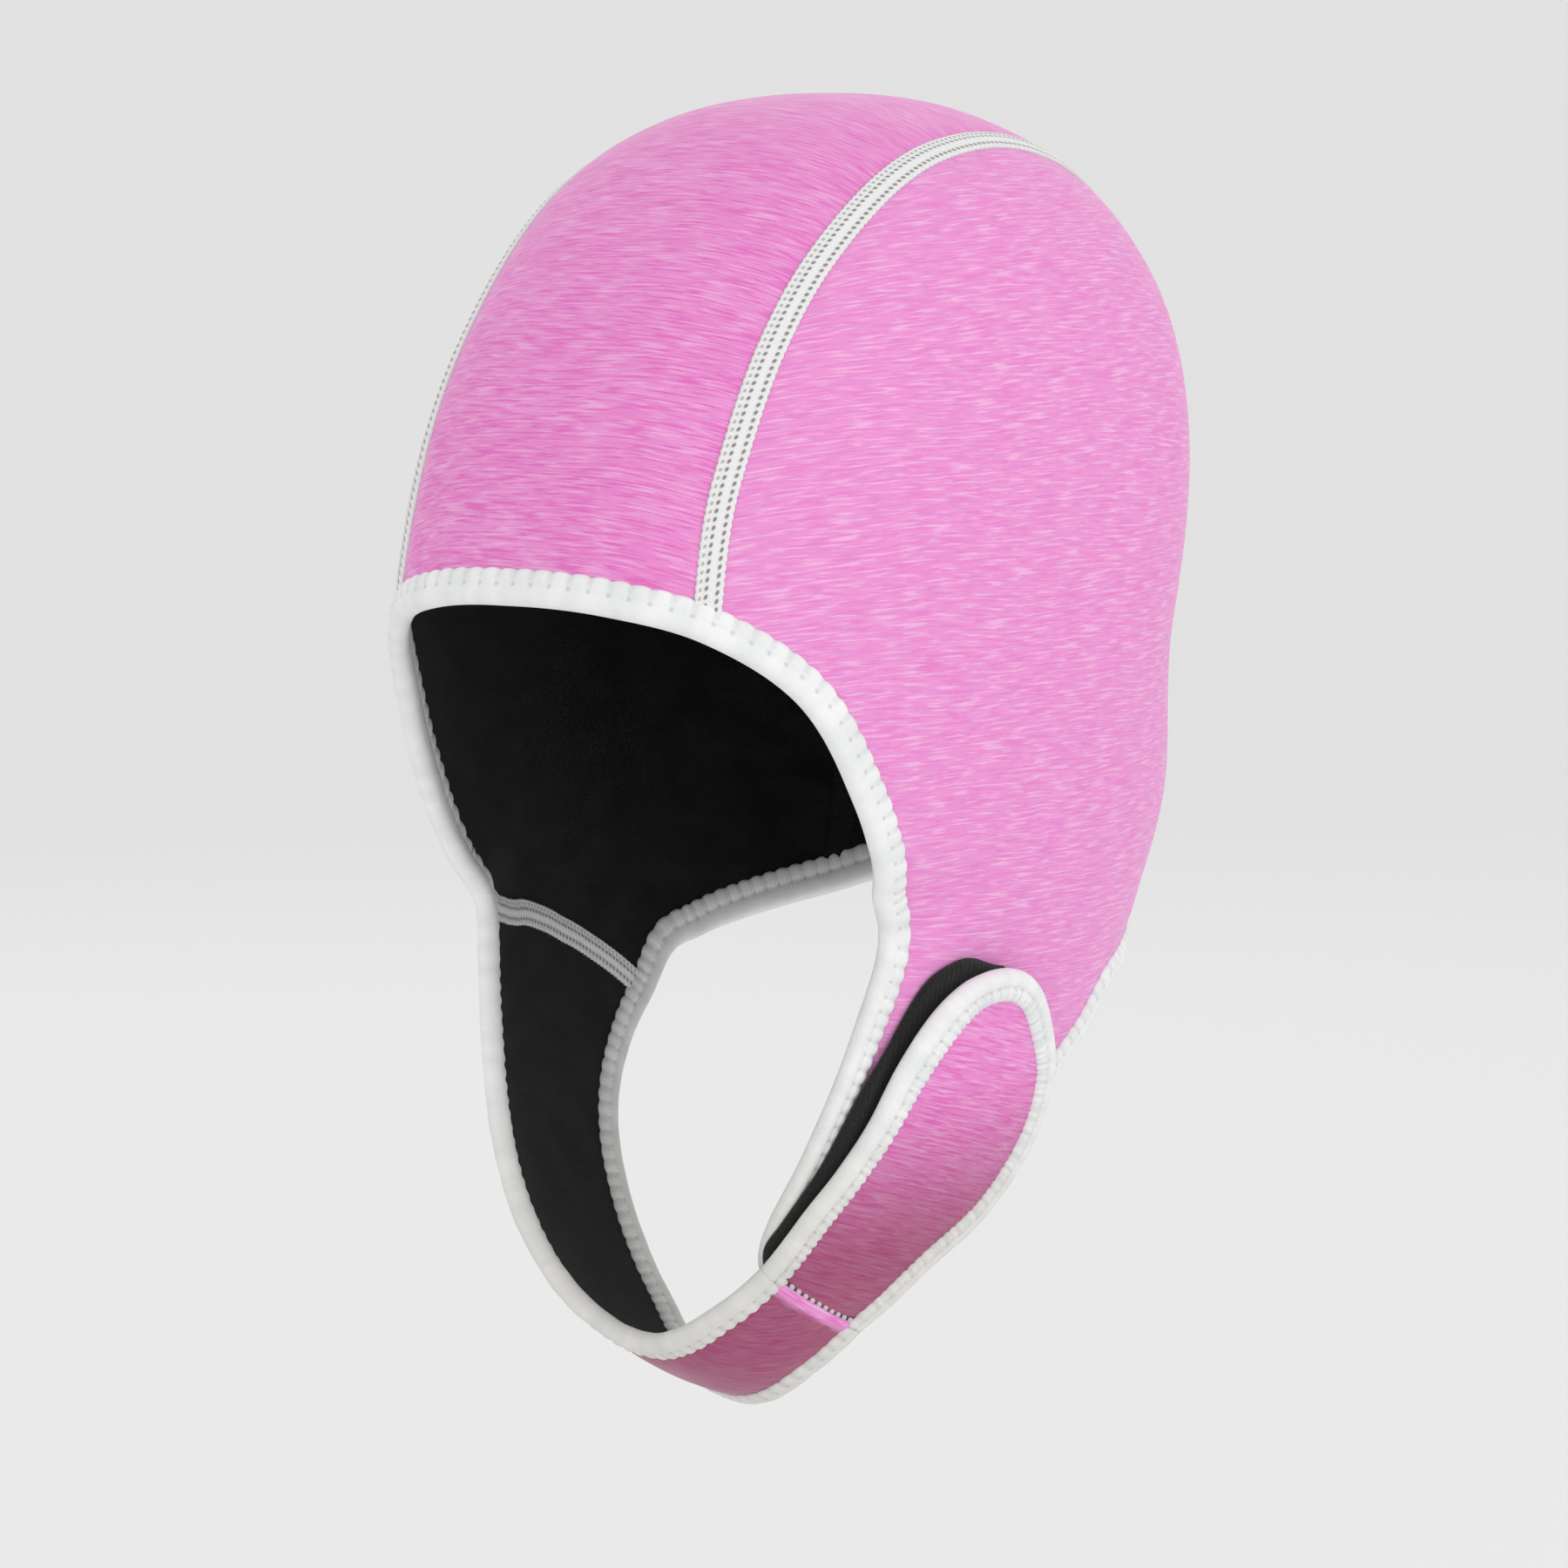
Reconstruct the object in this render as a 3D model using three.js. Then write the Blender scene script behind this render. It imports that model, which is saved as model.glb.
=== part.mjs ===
// A three-panel swim cap of 2 mm foam-backed cloth, with ear flaps and a chin strap.
// Millimetres, +Z up, the face looks along -Y, +X is the wearer's left.
// The origin is the inside of the crown, where the cap sits on the head.
import * as THREE from 'three';

// Driving dimensions of the head form that the cap is sewn to
const HALF_BREADTH = 70;      // ear to centre line, at ear height
const FULLNESS = 2.4;         // power of the rounded cross sections: 2 is round, more is boxier
const BACK_SPREAD = 0.15;     // share of breadth gained per 100 mm behind the ears
const EAR_CENTRE = { y: -20, z: -158.2 };   // from the origin to the line through both ears

// The centre line's distance from the ear line, by angle above straight ahead
const HEAD_OUTLINE = [
  { place: 'face', angle: 0, reach: 105 },
  { place: 'brow', angle: 30, reach: 117 },
  { place: 'forehead', angle: 60, reach: 138 },
  { place: 'crown', angle: 90, reach: 159 },
  { place: 'back of crown', angle: 120, reach: 159 },
  { place: 'back of head', angle: 150, reach: 106 },
  { place: 'occiput', angle: 180, reach: 96 },
  { place: 'nape', angle: 210, reach: 95 },
  { place: 'throat', angle: 240, reach: 120 },
  { place: 'under chin', angle: 270, reach: 129 },
  { place: 'chin', angle: 300, reach: 121 },
  { place: 'mouth', angle: 330, reach: 76 },
];

// The share of the half breadth kept at each height from the ear line
const BREADTH_BY_HEIGHT = [
  { height: -150, share: 0.73 },
  { height: -100, share: 0.855 },
  { height: -50, share: 0.9 },
  { height: 0, share: 1.0 },
  { height: 50, share: 1.09 },
  { height: 100, share: 1.18 },
  { height: 150, share: 1.27 },
];

// Cloth, trims and the small clearances between sewn pieces
const CLOTH = 2.0;
const SEAM_GAP = 1.0;         // between two panels that butt at a seam
const SEAM_BAND = { width: 6.4, thickness: 0.7, web: 0.3, clearance: 0.75, endInset: 11 };
const JOINT_BAND = { width: 2.6, thickness: 0.6, web: 0.3, clearance: 0.45, endInset: 10.5 };
const BINDING = { depth: 8, thickness: 0.8, clearance: 0.8, bevel: 0.4 };
const PAD = { thickness: 1.2, clearance: 0.8, edgeInset: 9.2 };
const EDGE_INSET = BINDING.thickness + BINDING.clearance;
const END_GAP = 0.4;          // between the ends of two bindings, or of strap and tab
const TAB_LIFT = 3 * PAD.clearance + 2 * PAD.thickness + CLOTH;  // outer face of the closed tab
const LIFT_START = 0.85;      // reach at which the strap begins to rise to the tab's level
const LIFT_END = 1.2;
const STRAP_TOP = -0.5;       // chart height below which only the strap is found

// Outlines on the form. angle is measured about the ear, up from straight ahead, and
// reach runs from 0 at the ear to 1 at the centre line, and on past it to the other side.
const FACE_EDGE = [
  { place: 'brow', angle: 27, reach: 1.0 },
  { place: 'forehead', angle: 27.1, reach: 0.81 },
  { place: 'brow seam', angle: 27.2, reach: 0.62 },
  { place: 'temple', angle: 24, reach: 0.43 },
  { place: 'eye', angle: 11, reach: 0.312 },
  { place: 'cheekbone', angle: -4, reach: 0.281 },
  { place: 'cheek', angle: -18, reach: 0.335 },
  { place: 'strap seam front', angle: -28, reach: 0.362 },
  { place: 'mouth', angle: -41, reach: 0.388 },
  { place: 'jaw', angle: -48.5, reach: 0.43 },
  { place: 'chin side', angle: -53.5, reach: 0.51 },
];
const NAPE_EDGE = [
  { place: 'nape', angle: -165.5, reach: 1.0 },
  { place: 'hollow', angle: -164.7, reach: 0.9 },
  { place: 'hairline', angle: -162.2, reach: 0.79 },
  { place: 'nape seam', angle: -159, reach: 0.7 },
  { place: 'behind ear', angle: -152, reach: 0.54 },
  { place: 'ear back', angle: -143.5, reach: 0.415 },
  { place: 'ear low', angle: -135, reach: 0.335 },
  { place: 'strap seam back', angle: -122.5, reach: 0.302 },
  { place: 'lobe', angle: -111, reach: 0.3 },
];
const LEFT_FLAP_END = [
  { place: 'tip front', angle: -57.5, reach: 0.62 },
  { place: 'tip', angle: -61.5, reach: 0.672 },
  { place: 'tip low', angle: -68, reach: 0.675 },
  { place: 'tip back', angle: -74, reach: 0.61 },
  { place: 'under strap', angle: -78.5, reach: 0.51 },
  { place: 'under tab', angle: -84, reach: 0.42 },
  { place: 'flap back', angle: -92, reach: 0.35 },
  { place: 'flap lobe', angle: -101, reach: 0.315 },
];
const STRAP_FRONT = [
  { place: 'low jaw', angle: -58.5, reach: 0.625 },
  { place: 'chin right', angle: -62.5, reach: 0.75 },
  { place: 'chin near', angle: -64.5, reach: 0.87 },
  { place: 'chin', angle: -64, reach: 1.0 },
  { place: 'chin past', angle: -62, reach: 1.1 },
  { place: 'chin left', angle: -60.5, reach: 1.19 },
  { place: 'rise', angle: -59.8, reach: 1.27 },
  { place: 'joint', angle: -59.2, reach: 1.335 },
];
const STRAP_BACK = [
  { place: 'back start', angle: -101, reach: 0.335 },
  { place: 'back low', angle: -95.5, reach: 0.4 },
  { place: 'jaw under', angle: -92.5, reach: 0.5 },
  { place: 'throat right', angle: -90.5, reach: 0.61 },
  { place: 'throat near', angle: -88.5, reach: 0.73 },
  { place: 'throat', angle: -85, reach: 0.87 },
  { place: 'throat mid', angle: -81, reach: 1.0 },
  { place: 'throat past', angle: -77.8, reach: 1.13 },
  { place: 'throat left', angle: -76.5, reach: 1.25 },
  { place: 'joint', angle: -76.8, reach: 1.375 },
];
const CROWN_SEAM = [
  { place: 'brow', angle: 27.2, reach: 0.62 },
  { place: 'forehead', angle: 45, reach: 0.655 },
  { place: 'front crown', angle: 70, reach: 0.7 },
  { place: 'crown', angle: 100, reach: 0.765 },
  { place: 'back crown', angle: 130, reach: 0.79 },
  { place: 'back', angle: 162, reach: 0.745 },
  { place: 'low back', angle: 185, reach: 0.715 },
  { place: 'nape', angle: 201, reach: 0.7 },
];
const STRAP_SEAM = [
  { place: 'front', angle: -28, reach: 0.362 },
  { place: 'cheek', angle: -37, reach: 0.265 },
  { place: 'ear front', angle: -57, reach: 0.145 },
  { place: 'ear', angle: -93, reach: 0.128 },
  { place: 'behind', angle: -114, reach: 0.198 },
  { place: 'back', angle: -122.5, reach: 0.302 },
];
const TAB_EDGE = [
  { place: 'joint front', angle: -59.2, reach: 0.665 },
  { place: 'front low', angle: -57.6, reach: 0.56 },
  { place: 'front mid', angle: -56.9, reach: 0.475 },
  { place: 'front high', angle: -55.8, reach: 0.395 },
  { place: 'front top', angle: -53, reach: 0.32 },
  { place: 'shoulder', angle: -51.5, reach: 0.245 },
  { place: 'end front', angle: -55, reach: 0.17 },
  { place: 'end', angle: -69, reach: 0.12 },
  { place: 'end back', angle: -88, reach: 0.125 },
  { place: 'back top', angle: -99.5, reach: 0.18 },
  { place: 'back high', angle: -102, reach: 0.245 },
  { place: 'back mid', angle: -97.5, reach: 0.325 },
  { place: 'back low', angle: -89.5, reach: 0.415 },
  { place: 'back bend', angle: -81, reach: 0.505 },
  { place: 'joint back', angle: -76.8, reach: 0.625 },
];
const JOINT = [
  { place: 'back', angle: -76.8, reach: 0.625 },
  { place: 'middle', angle: -68, reach: 0.642 },
  { place: 'front', angle: -59.2, reach: 0.665 },
];
const LOOP_PAD_TOP = [
  { place: 'back', angle: -96, reach: 0.235 },
  { place: 'top back', angle: -93, reach: 0.16 },
  { place: 'top', angle: -70, reach: 0.122 },
  { place: 'top front', angle: -50, reach: 0.17 },
  { place: 'front', angle: -47, reach: 0.26 },
];

// Spacing of the facets
const STEP = { edge: 8, seam: 10.5, tab: 7.5, pad: 8 };
const PANEL_RINGS = [0.3, 0.55, 0.77, 0.92, 1];
const TAB_RINGS = [0.28, 0.54, 0.78, 1];
const CENTRE_COLUMNS = 10;
const STRAP_ARCH = 0.35;      // share of the strap's length that still bows with its seam
const SLOPE_STEP = 0.002;     // chart step used to measure the slope of the form
const WALK_STEPS = 3;
const TRACE_SAMPLES = 400;
const SHORTEST_STEP = 2;      // between the first two spots of a shortened line
const SMOOTH_CORNER = 0.9;    // cosine above which two lines run on as one
const TINY = 1e-6;

const LEFT = 1;
const RIGHT = -1;
const degrees = THREE.MathUtils.degToRad;

// Smooth curve through evenly spaced or listed values
function blend(before, from, to, after, t) {
  const bend = 2 * before - 5 * from + 4 * to - after;
  const twist = 3 * (from - to) + after - before;
  return 0.5 * (2 * from + (to - before) * t + bend * t * t + twist * t * t * t);
}

function outlineReach(angle) {
  const count = HEAD_OUTLINE.length;
  const turn = (((angle / 360) % 1) + 1) % 1 * count;
  const row = Math.floor(turn);
  const reach = (offset) => HEAD_OUTLINE[(row + offset + count) % count].reach;
  return blend(reach(-1), reach(0), reach(1), reach(2), turn - row);
}

function breadthShare(height) {
  const rows = BREADTH_BY_HEIGHT;
  const spacing = rows[1].height - rows[0].height;
  const place = THREE.MathUtils.clamp((height - rows[0].height) / spacing, 0, rows.length - 1 - TINY);
  const row = Math.floor(place);
  const share = (offset) => rows[THREE.MathUtils.clamp(row + offset, 0, rows.length - 1)].share;
  return blend(share(-1), share(0), share(1), share(2), place - row);
}

// A place on the form: the ear it is charted from, and x back, y up in reach from that ear
function place(ear, angle, reach) {
  const turn = degrees(angle);
  return { ear, x: -reach * Math.cos(turn), y: reach * Math.sin(turn) };
}

function formPoint({ ear, x, y }) {
  const reach = Math.hypot(x, y);
  const angle = THREE.MathUtils.radToDeg(Math.atan2(y, -x));
  const near = reach <= 1;
  const turn = (Math.PI / 2) * Math.max(near ? reach : 2 - reach, 0);
  const power = 2 / FULLNESS;
  const radius = outlineReach(angle) * Math.sin(turn) ** power;
  const back = -radius * Math.cos(degrees(angle));
  const up = radius * Math.sin(degrees(angle));
  const spread = breadthShare(up) * (1 + BACK_SPREAD * back / 100);
  const across = HALF_BREADTH * Math.abs(Math.cos(turn)) ** power * spread;
  return new THREE.Vector3((near ? ear : -ear) * across, back + EAR_CENTRE.y, up + EAR_CENTRE.z);
}

function slopes(spot) {
  const { ear, x, y } = spot;
  const back = formPoint({ ear, x: x + SLOPE_STEP, y }).sub(formPoint({ ear, x: x - SLOPE_STEP, y }));
  const up = formPoint({ ear, x, y: y + SLOPE_STEP }).sub(formPoint({ ear, x, y: y - SLOPE_STEP }));
  return { back: back.divideScalar(2 * SLOPE_STEP), up: up.divideScalar(2 * SLOPE_STEP) };
}

function outward(spot) {
  const { back, up } = slopes(spot);
  return back.cross(up).multiplyScalar(spot.ear).normalize();
}

// The point at a height above the form, where 0 is the cap's outer face
function above(spot, height) {
  const lift = spot.lift ? spot.lift(Math.hypot(spot.x, spot.y)) : 0;
  return formPoint(spot).addScaledVector(outward(spot), height + lift);
}

// The spot that lies a distance away along the form, in a given direction
function walk(spot, direction, distance) {
  let { x, y } = spot;
  for (let step = 0; step < WALK_STEPS; step += 1) {
    const { back, up } = slopes({ ear: spot.ear, x, y });
    const bb = back.dot(back);
    const uu = up.dot(up);
    const bu = back.dot(up);
    const db = direction.dot(back) * distance / WALK_STEPS;
    const du = direction.dot(up) * distance / WALK_STEPS;
    const scale = bb * uu - bu * bu;
    x += (db * uu - du * bu) / scale;
    y += (du * bb - db * bu) / scale;
  }
  return { ...spot, x, y };
}

// Evenly spaced spots along a named outline, from one of its places to another
function trace(ear, rows, from, to, spacing) {
  const points = rows.map(({ angle, reach }) => {
    const { x, y } = place(ear, angle, reach);
    return new THREE.Vector2(x, y);
  });
  const curve = new THREE.SplineCurve(points);
  const share = (name) => rows.findIndex((row) => row.place === name) / (rows.length - 1);
  const start = share(from);
  const end = share(to);
  const spots = [];
  const travelled = [0];
  for (let i = 0; i <= TRACE_SAMPLES; i += 1) {
    const { x, y } = curve.getPoint(start + (end - start) * i / TRACE_SAMPLES);
    spots.push({ ear, x, y });
    if (i > 0) {
      travelled.push(travelled[i - 1] + formPoint(spots[i]).distanceTo(formPoint(spots[i - 1])));
    }
  }
  const length = travelled[TRACE_SAMPLES];
  const count = Math.max(2, Math.round(length / spacing));
  const even = [];
  for (let i = 0; i <= count; i += 1) {
    const target = length * i / count;
    const after = Math.max(1, travelled.findIndex((value) => value >= target - TINY));
    const step = travelled[after] - travelled[after - 1];
    const part = (target - travelled[after - 1]) / step;
    const a = spots[after - 1];
    const b = spots[after];
    even.push({ ear, x: a.x + (b.x - a.x) * part, y: a.y + (b.y - a.y) * part });
  }
  return even;
}

// The direction along the form, to the left of the way that a line of spots runs
function leftAt(spots, index) {
  const before = spots[Math.max(index - 1, 0)];
  const after = spots[Math.min(index + 1, spots.length - 1)];
  const tangent = formPoint(after).sub(formPoint(before));
  const left = outward(spots[index]).cross(tangent);
  const onCentreLine = Math.abs(Math.hypot(spots[index].x, spots[index].y) - 1) < TINY;
  if (onCentreLine) left.x = 0;
  return left.normalize();
}

// A line through named places of an outline. Each spot knows the way into the cloth,
// which lies on the line's left, or on its right where side is -1.
function route(ear, rows, names, spacing, side = 1) {
  const spots = [];
  const at = {};
  names.forEach((name, index) => {
    at[name] = Math.max(spots.length - 1, 0);
    if (index + 1 < names.length) {
      spots.splice(-1, 1, ...trace(ear, rows, name, names[index + 1], spacing));
    }
  });
  const line = spots.map((spot, index) => ({ ...spot, inward: leftAt(spots, index).multiplyScalar(side) }));
  return { line, between: (from, to) => line.slice(at[from], at[to] + 1) };
}

const drawIn = (line, distance) => line.map((spot) => walk(spot, spot.inward, distance));
const flipped = (line) => line.map((spot) => ({ ...spot, inward: spot.inward.clone().negate() }));

// Solids from faces. A solid whose faces all point in is turned inside out.
function makeMesh(name, points, faces, look) {
  const positions = points.flatMap(({ x, y, z }) => [x, y, z]);
  let volume = 0;
  for (const [a, b, c] of faces) {
    volume += points[a].dot(new THREE.Vector3().crossVectors(points[b], points[c]));
  }
  const index = faces.flatMap(([a, b, c]) => (volume < 0 ? [a, c, b] : [a, b, c]));
  const geometry = new THREE.BufferGeometry();
  geometry.setAttribute('position', new THREE.Float32BufferAttribute(positions, 3));
  geometry.setIndex(index);
  geometry.computeVertexNormals();
  const mesh = new THREE.Mesh(geometry, new THREE.MeshStandardMaterial(look));
  mesh.name = name;
  return mesh;
}

const quad = (a, b, c, d) => [[a, b, c], [a, c, d]];

// A sheet whose rings shrink from its edge to a centre, between two heights
function ringedSheet(name, edge, centre, rings, outer, inner, look) {
  const count = edge.length;
  const points = [];
  for (const height of [outer, inner]) {
    points.push(above({ ...edge[0], ...centre }, height));
    for (const ring of rings) {
      for (const spot of edge) {
        const x = centre.x + (spot.x - centre.x) * ring;
        const y = centre.y + (spot.y - centre.y) * ring;
        points.push(above({ ...spot, x, y }, height));
      }
    }
  }
  const layer = 1 + rings.length * count;
  const faces = [];
  for (let i = 0; i < count; i += 1) {
    const next = (i + 1) % count;
    faces.push([0, 1 + i, 1 + next]);
    faces.push([layer, layer + 1 + next, layer + 1 + i]);
    for (let ring = 1; ring < rings.length; ring += 1) {
      const low = 1 + (ring - 1) * count;
      const high = 1 + ring * count;
      faces.push(...quad(low + i, high + i, high + next, low + next));
      faces.push(...quad(layer + low + next, layer + high + next, layer + high + i, layer + low + i));
    }
    const rim = 1 + (rings.length - 1) * count;
    faces.push(...quad(rim + next, rim + i, layer + rim + i, layer + rim + next));
  }
  return makeMesh(name, points, faces, look);
}

// A sheet given as rows of spots, between two heights
function griddedSheet(name, rows, outer, inner, look) {
  const across = rows[0].length;
  const points = [];
  for (const height of [outer, inner]) {
    rows.forEach((row) => row.forEach((spot) => points.push(above(spot, height))));
  }
  const layer = rows.length * across;
  const faces = [];
  for (let i = 0; i + 1 < rows.length; i += 1) {
    for (let j = 0; j + 1 < across; j += 1) {
      const corner = i * across + j;
      faces.push(...quad(corner, corner + 1, corner + across + 1, corner + across));
      const under = layer + corner;
      faces.push(...quad(under + across, under + across + 1, under + 1, under));
    }
    const left = i * across;
    const right = left + across - 1;
    faces.push(...quad(left, left + across, layer + left + across, layer + left));
    faces.push(...quad(right + across, right, layer + right, layer + right + across));
  }
  for (let j = 0; j + 1 < across; j += 1) {
    const last = layer - across + j;
    faces.push(...quad(j + 1, j, layer + j, layer + j + 1));
    faces.push(...quad(last, last + 1, layer + last + 1, layer + last));
  }
  return makeMesh(name, points, faces, look);
}

// A trim of one section, carried along a line of spots. The section's x runs into the
// cloth from the line and its y is the height above the cap's outer face.
function trim(name, line, section, look) {
  const count = section.length;
  const points = line.flatMap((spot) => (
    section.map(([distance, height]) => above(walk(spot, spot.inward, distance), height))
  ));
  const faces = [];
  for (let i = 0; i + 1 < line.length; i += 1) {
    for (let j = 0; j < count; j += 1) {
      const next = (j + 1) % count;
      const here = i * count;
      faces.push(...quad(here + j, here + next, here + count + next, here + count + j));
    }
  }
  const outline = section.map(([x, y]) => new THREE.Vector2(x, y));
  const last = (line.length - 1) * count;
  const flip = THREE.ShapeUtils.isClockWise(outline);
  for (const [a, b, c] of THREE.ShapeUtils.triangulateShape(outline, [])) {
    faces.push(flip ? [a, b, c] : [a, c, b]);
    faces.push(flip ? [last + a, last + c, last + b] : [last + a, last + b, last + c]);
  }
  return makeMesh(name, points, faces, look);
}

// The same line shortened by a distance at its start
function shortened(line, distance) {
  const rest = [...line];
  let left = distance;
  let step = formPoint(rest[0]).distanceTo(formPoint(rest[1]));
  while (left > step - SHORTEST_STEP) {
    rest.shift();
    left -= step;
    step = formPoint(rest[0]).distanceTo(formPoint(rest[1]));
  }
  const direction = formPoint(rest[1]).sub(formPoint(rest[0])).normalize();
  rest[0] = walk(rest[0], direction, left);
  return rest;
}

const reversed = (line) => [...line].reverse();
const shortenedBoth = (line, distance) =>
  reversed(shortened(reversed(shortened(line, distance)), distance));

// Sections of the trims
function bindingSection() {
  const { depth, thickness, clearance, bevel } = BINDING;
  const top = clearance + thickness;
  const bottom = -CLOTH - top;
  return [
    [depth, top], [bevel, top], [0, top - bevel], [0, bottom + bevel], [bevel, bottom], [depth, bottom],
    [depth, bottom + thickness], [thickness, bottom + thickness], [thickness, top - thickness],
    [depth, top - thickness],
  ];
}

function flatSeamSection({ width, thickness, web, clearance }) {
  const half = width / 2;
  const low = -CLOTH - clearance;
  return [
    [-half, clearance], [-web / 2, clearance], [-web / 2, low], [-half, low],
    [-half, low - thickness], [half, low - thickness], [half, low], [web / 2, low],
    [web / 2, clearance], [half, clearance], [half, clearance + thickness], [-half, clearance + thickness],
  ];
}

const LOOKS = {
  cloth: { color: 0xe07cc8, roughness: 0.85, metalness: 0 },
  trim: { color: 0xf2f2ee, roughness: 0.75, metalness: 0 },
  pad: { color: 0x161616, roughness: 0.95, metalness: 0 },
};

// Chart places that the rings of the sheets shrink to
const EAR = { x: 0, y: 0 };
const ABOVE_EAR = { x: 0, y: 0.12 };
const PAD_CENTRE = place(LEFT, -70, 0.36);

const strapRise = (reach) => TAB_LIFT * THREE.MathUtils.smoothstep(reach, LIFT_START, LIFT_END);
const strapLift = (spot) => (spot.y < STRAP_TOP ? { ...spot, lift: strapRise } : spot);
const tabLift = (spot) => ({ ...spot, lift: () => TAB_LIFT });

// Outlines in full: the left one from the brow round the flap to the nape, and the
// right ones from the brow and from the nape to the sewn joint
const LEFT_EDGE = [...FACE_EDGE, ...LEFT_FLAP_END, ...reversed(NAPE_EDGE)];
const RIGHT_FRONT = [...FACE_EDGE, ...STRAP_FRONT];
const RIGHT_BACK = [...NAPE_EDGE, ...STRAP_BACK];

const LEFT_STOPS = ['brow', 'brow seam', 'under strap', 'nape seam', 'nape'];
const FRONT_STOPS = ['brow', 'brow seam', 'strap seam front', 'joint'];
const BACK_STOPS = ['nape', 'nape seam', 'strap seam back', 'joint'];
const TAB_STOPS = ['joint front', 'front low', 'back bend', 'joint back'];

const LEFT_ROUTE = route(LEFT, LEFT_EDGE, LEFT_STOPS, STEP.edge);
const FRONT_ROUTE = route(RIGHT, RIGHT_FRONT, FRONT_STOPS, STEP.edge, -1);
const BACK_ROUTE = route(RIGHT, RIGHT_BACK, BACK_STOPS, STEP.edge);
const CROWN_LEFT = route(LEFT, CROWN_SEAM, ['brow', 'nape'], STEP.seam).line;
const CROWN_RIGHT = route(RIGHT, CROWN_SEAM, ['brow', 'nape'], STEP.seam).line;
const FLAP_SEAM = route(RIGHT, STRAP_SEAM, ['front', 'back'], STEP.edge).line;
const TAB_ROUTE = route(LEFT, TAB_EDGE, TAB_STOPS, STEP.tab, -1);
const JOINT_LINE = route(LEFT, JOINT, ['back', 'front'], STEP.tab).line;

// A corner spot, drawn in from each of the two lines that meet there
function insetCorner(spot, firstInward, firstInset, secondInward, secondInset) {
  const cosine = firstInward.dot(secondInward);
  if (cosine > SMOOTH_CORNER) return walk(spot, secondInward, secondInset);
  const scale = 1 - cosine * cosine;
  const move = new THREE.Vector3()
    .addScaledVector(firstInward, (firstInset - cosine * secondInset) / scale)
    .addScaledVector(secondInward, (secondInset - cosine * firstInset) / scale);
  const distance = move.length();
  return walk(spot, move.normalize(), distance);
}

// A closed loop of lines, each drawn in by its own distance
function insetLoop(parts) {
  return parts.flatMap(({ line, inset }, index) => {
    const { line: before, inset: firstInset } = parts[(index + parts.length - 1) % parts.length];
    const drawn = drawIn(line, inset);
    drawn[0] = insetCorner(line[0], before[before.length - 1].inward, firstInset, line[0].inward, inset);
    return drawn.slice(0, -1);
  });
}

// The side panels, each with its ear flap
function leftSidePanel() {
  const edge = insetLoop([
    { line: LEFT_ROUTE.between('brow seam', 'nape seam'), inset: EDGE_INSET },
    { line: flipped(reversed(CROWN_LEFT)), inset: SEAM_GAP / 2 },
  ]);
  return ringedSheet('side_panel_left', edge, EAR, PANEL_RINGS, 0, -CLOTH, LOOKS.cloth);
}

function rightSidePanel() {
  const edge = insetLoop([
    { line: BACK_ROUTE.between('nape seam', 'strap seam back'), inset: EDGE_INSET },
    { line: flipped(reversed(FLAP_SEAM)), inset: SEAM_GAP / 2 },
    { line: reversed(FRONT_ROUTE.between('brow seam', 'strap seam front')), inset: EDGE_INSET },
    { line: CROWN_RIGHT, inset: SEAM_GAP / 2 },
  ]);
  return ringedSheet('side_panel_right', edge, ABOVE_EAR, PANEL_RINGS, 0, -CLOTH, LOOKS.cloth);
}

// The centre panel, from the brow over the crown to the nape
function centrePanel() {
  const gap = SEAM_GAP / 2;
  const edge = drawIn(CROWN_LEFT, gap);
  const last = edge.length - 1;
  const brow = LEFT_ROUTE.between('brow', 'brow seam');
  const nape = LEFT_ROUTE.between('nape seam', 'nape');
  const corner = (spot, bound) => insetCorner(spot, spot.inward, gap, bound.inward, EDGE_INSET);
  edge[0] = corner(CROWN_LEFT[0], brow[brow.length - 1]);
  edge[last] = corner(CROWN_LEFT[last], nape[0]);
  const browAngle = FACE_EDGE[0].angle;
  const napeAngle = 360 + NAPE_EDGE[0].angle;
  const rows = edge.map((spot, index) => {
    const reach = Math.hypot(spot.x, spot.y);
    const turn = THREE.MathUtils.radToDeg(Math.atan2(spot.y, -spot.x));
    const sideAngle = turn < 0 ? turn + 360 : turn;
    const middleAngle = browAngle + (napeAngle - browAngle) * index / last;
    const row = [];
    for (let column = 0; column <= CENTRE_COLUMNS; column += 1) {
      const across = 2 * column / CENTRE_COLUMNS - 1;
      const out = Math.abs(across);
      const angle = middleAngle + (sideAngle - middleAngle) * out * out;
      row.push(place(across < 0 ? RIGHT : LEFT, angle, 1 - out ** (FULLNESS / 2) * (1 - reach)));
    }
    return row;
  });
  rows[0] = boundRow(rows[0], drawIn(brow, EDGE_INSET));
  rows[last] = boundRow(rows[last], drawIn(reversed(nape), EDGE_INSET));
  return griddedSheet('centre_panel', rows, 0, -CLOTH, LOOKS.cloth);
}

// A row whose inner spots are set on a bound edge, given from the centre line outwards
function boundRow(row, edge) {
  const middle = (row.length - 1) / 2;
  return row.map((spot, column) => {
    const out = Math.abs(column - middle) / middle;
    const set = pick(edge, out);
    return out === 1 ? spot : { ear: spot.ear, x: set.x, y: set.y };
  });
}

// A spot part of the way along a line
function pick(line, share) {
  const at = share * (line.length - 1);
  const low = Math.min(Math.floor(at), line.length - 2);
  const a = line[low];
  const b = line[low + 1];
  return { ...a, x: a.x + (b.x - a.x) * (at - low), y: a.y + (b.y - a.y) * (at - low) };
}

// How far a line bows, part of the way along it, from the straight way between its ends
function bow(line, share) {
  const { x, y } = pick(line, share);
  const first = line[0];
  const last = line[line.length - 1];
  return {
    x: x - first.x - (last.x - first.x) * share,
    y: y - first.y - (last.y - first.y) * share,
  };
}

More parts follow.
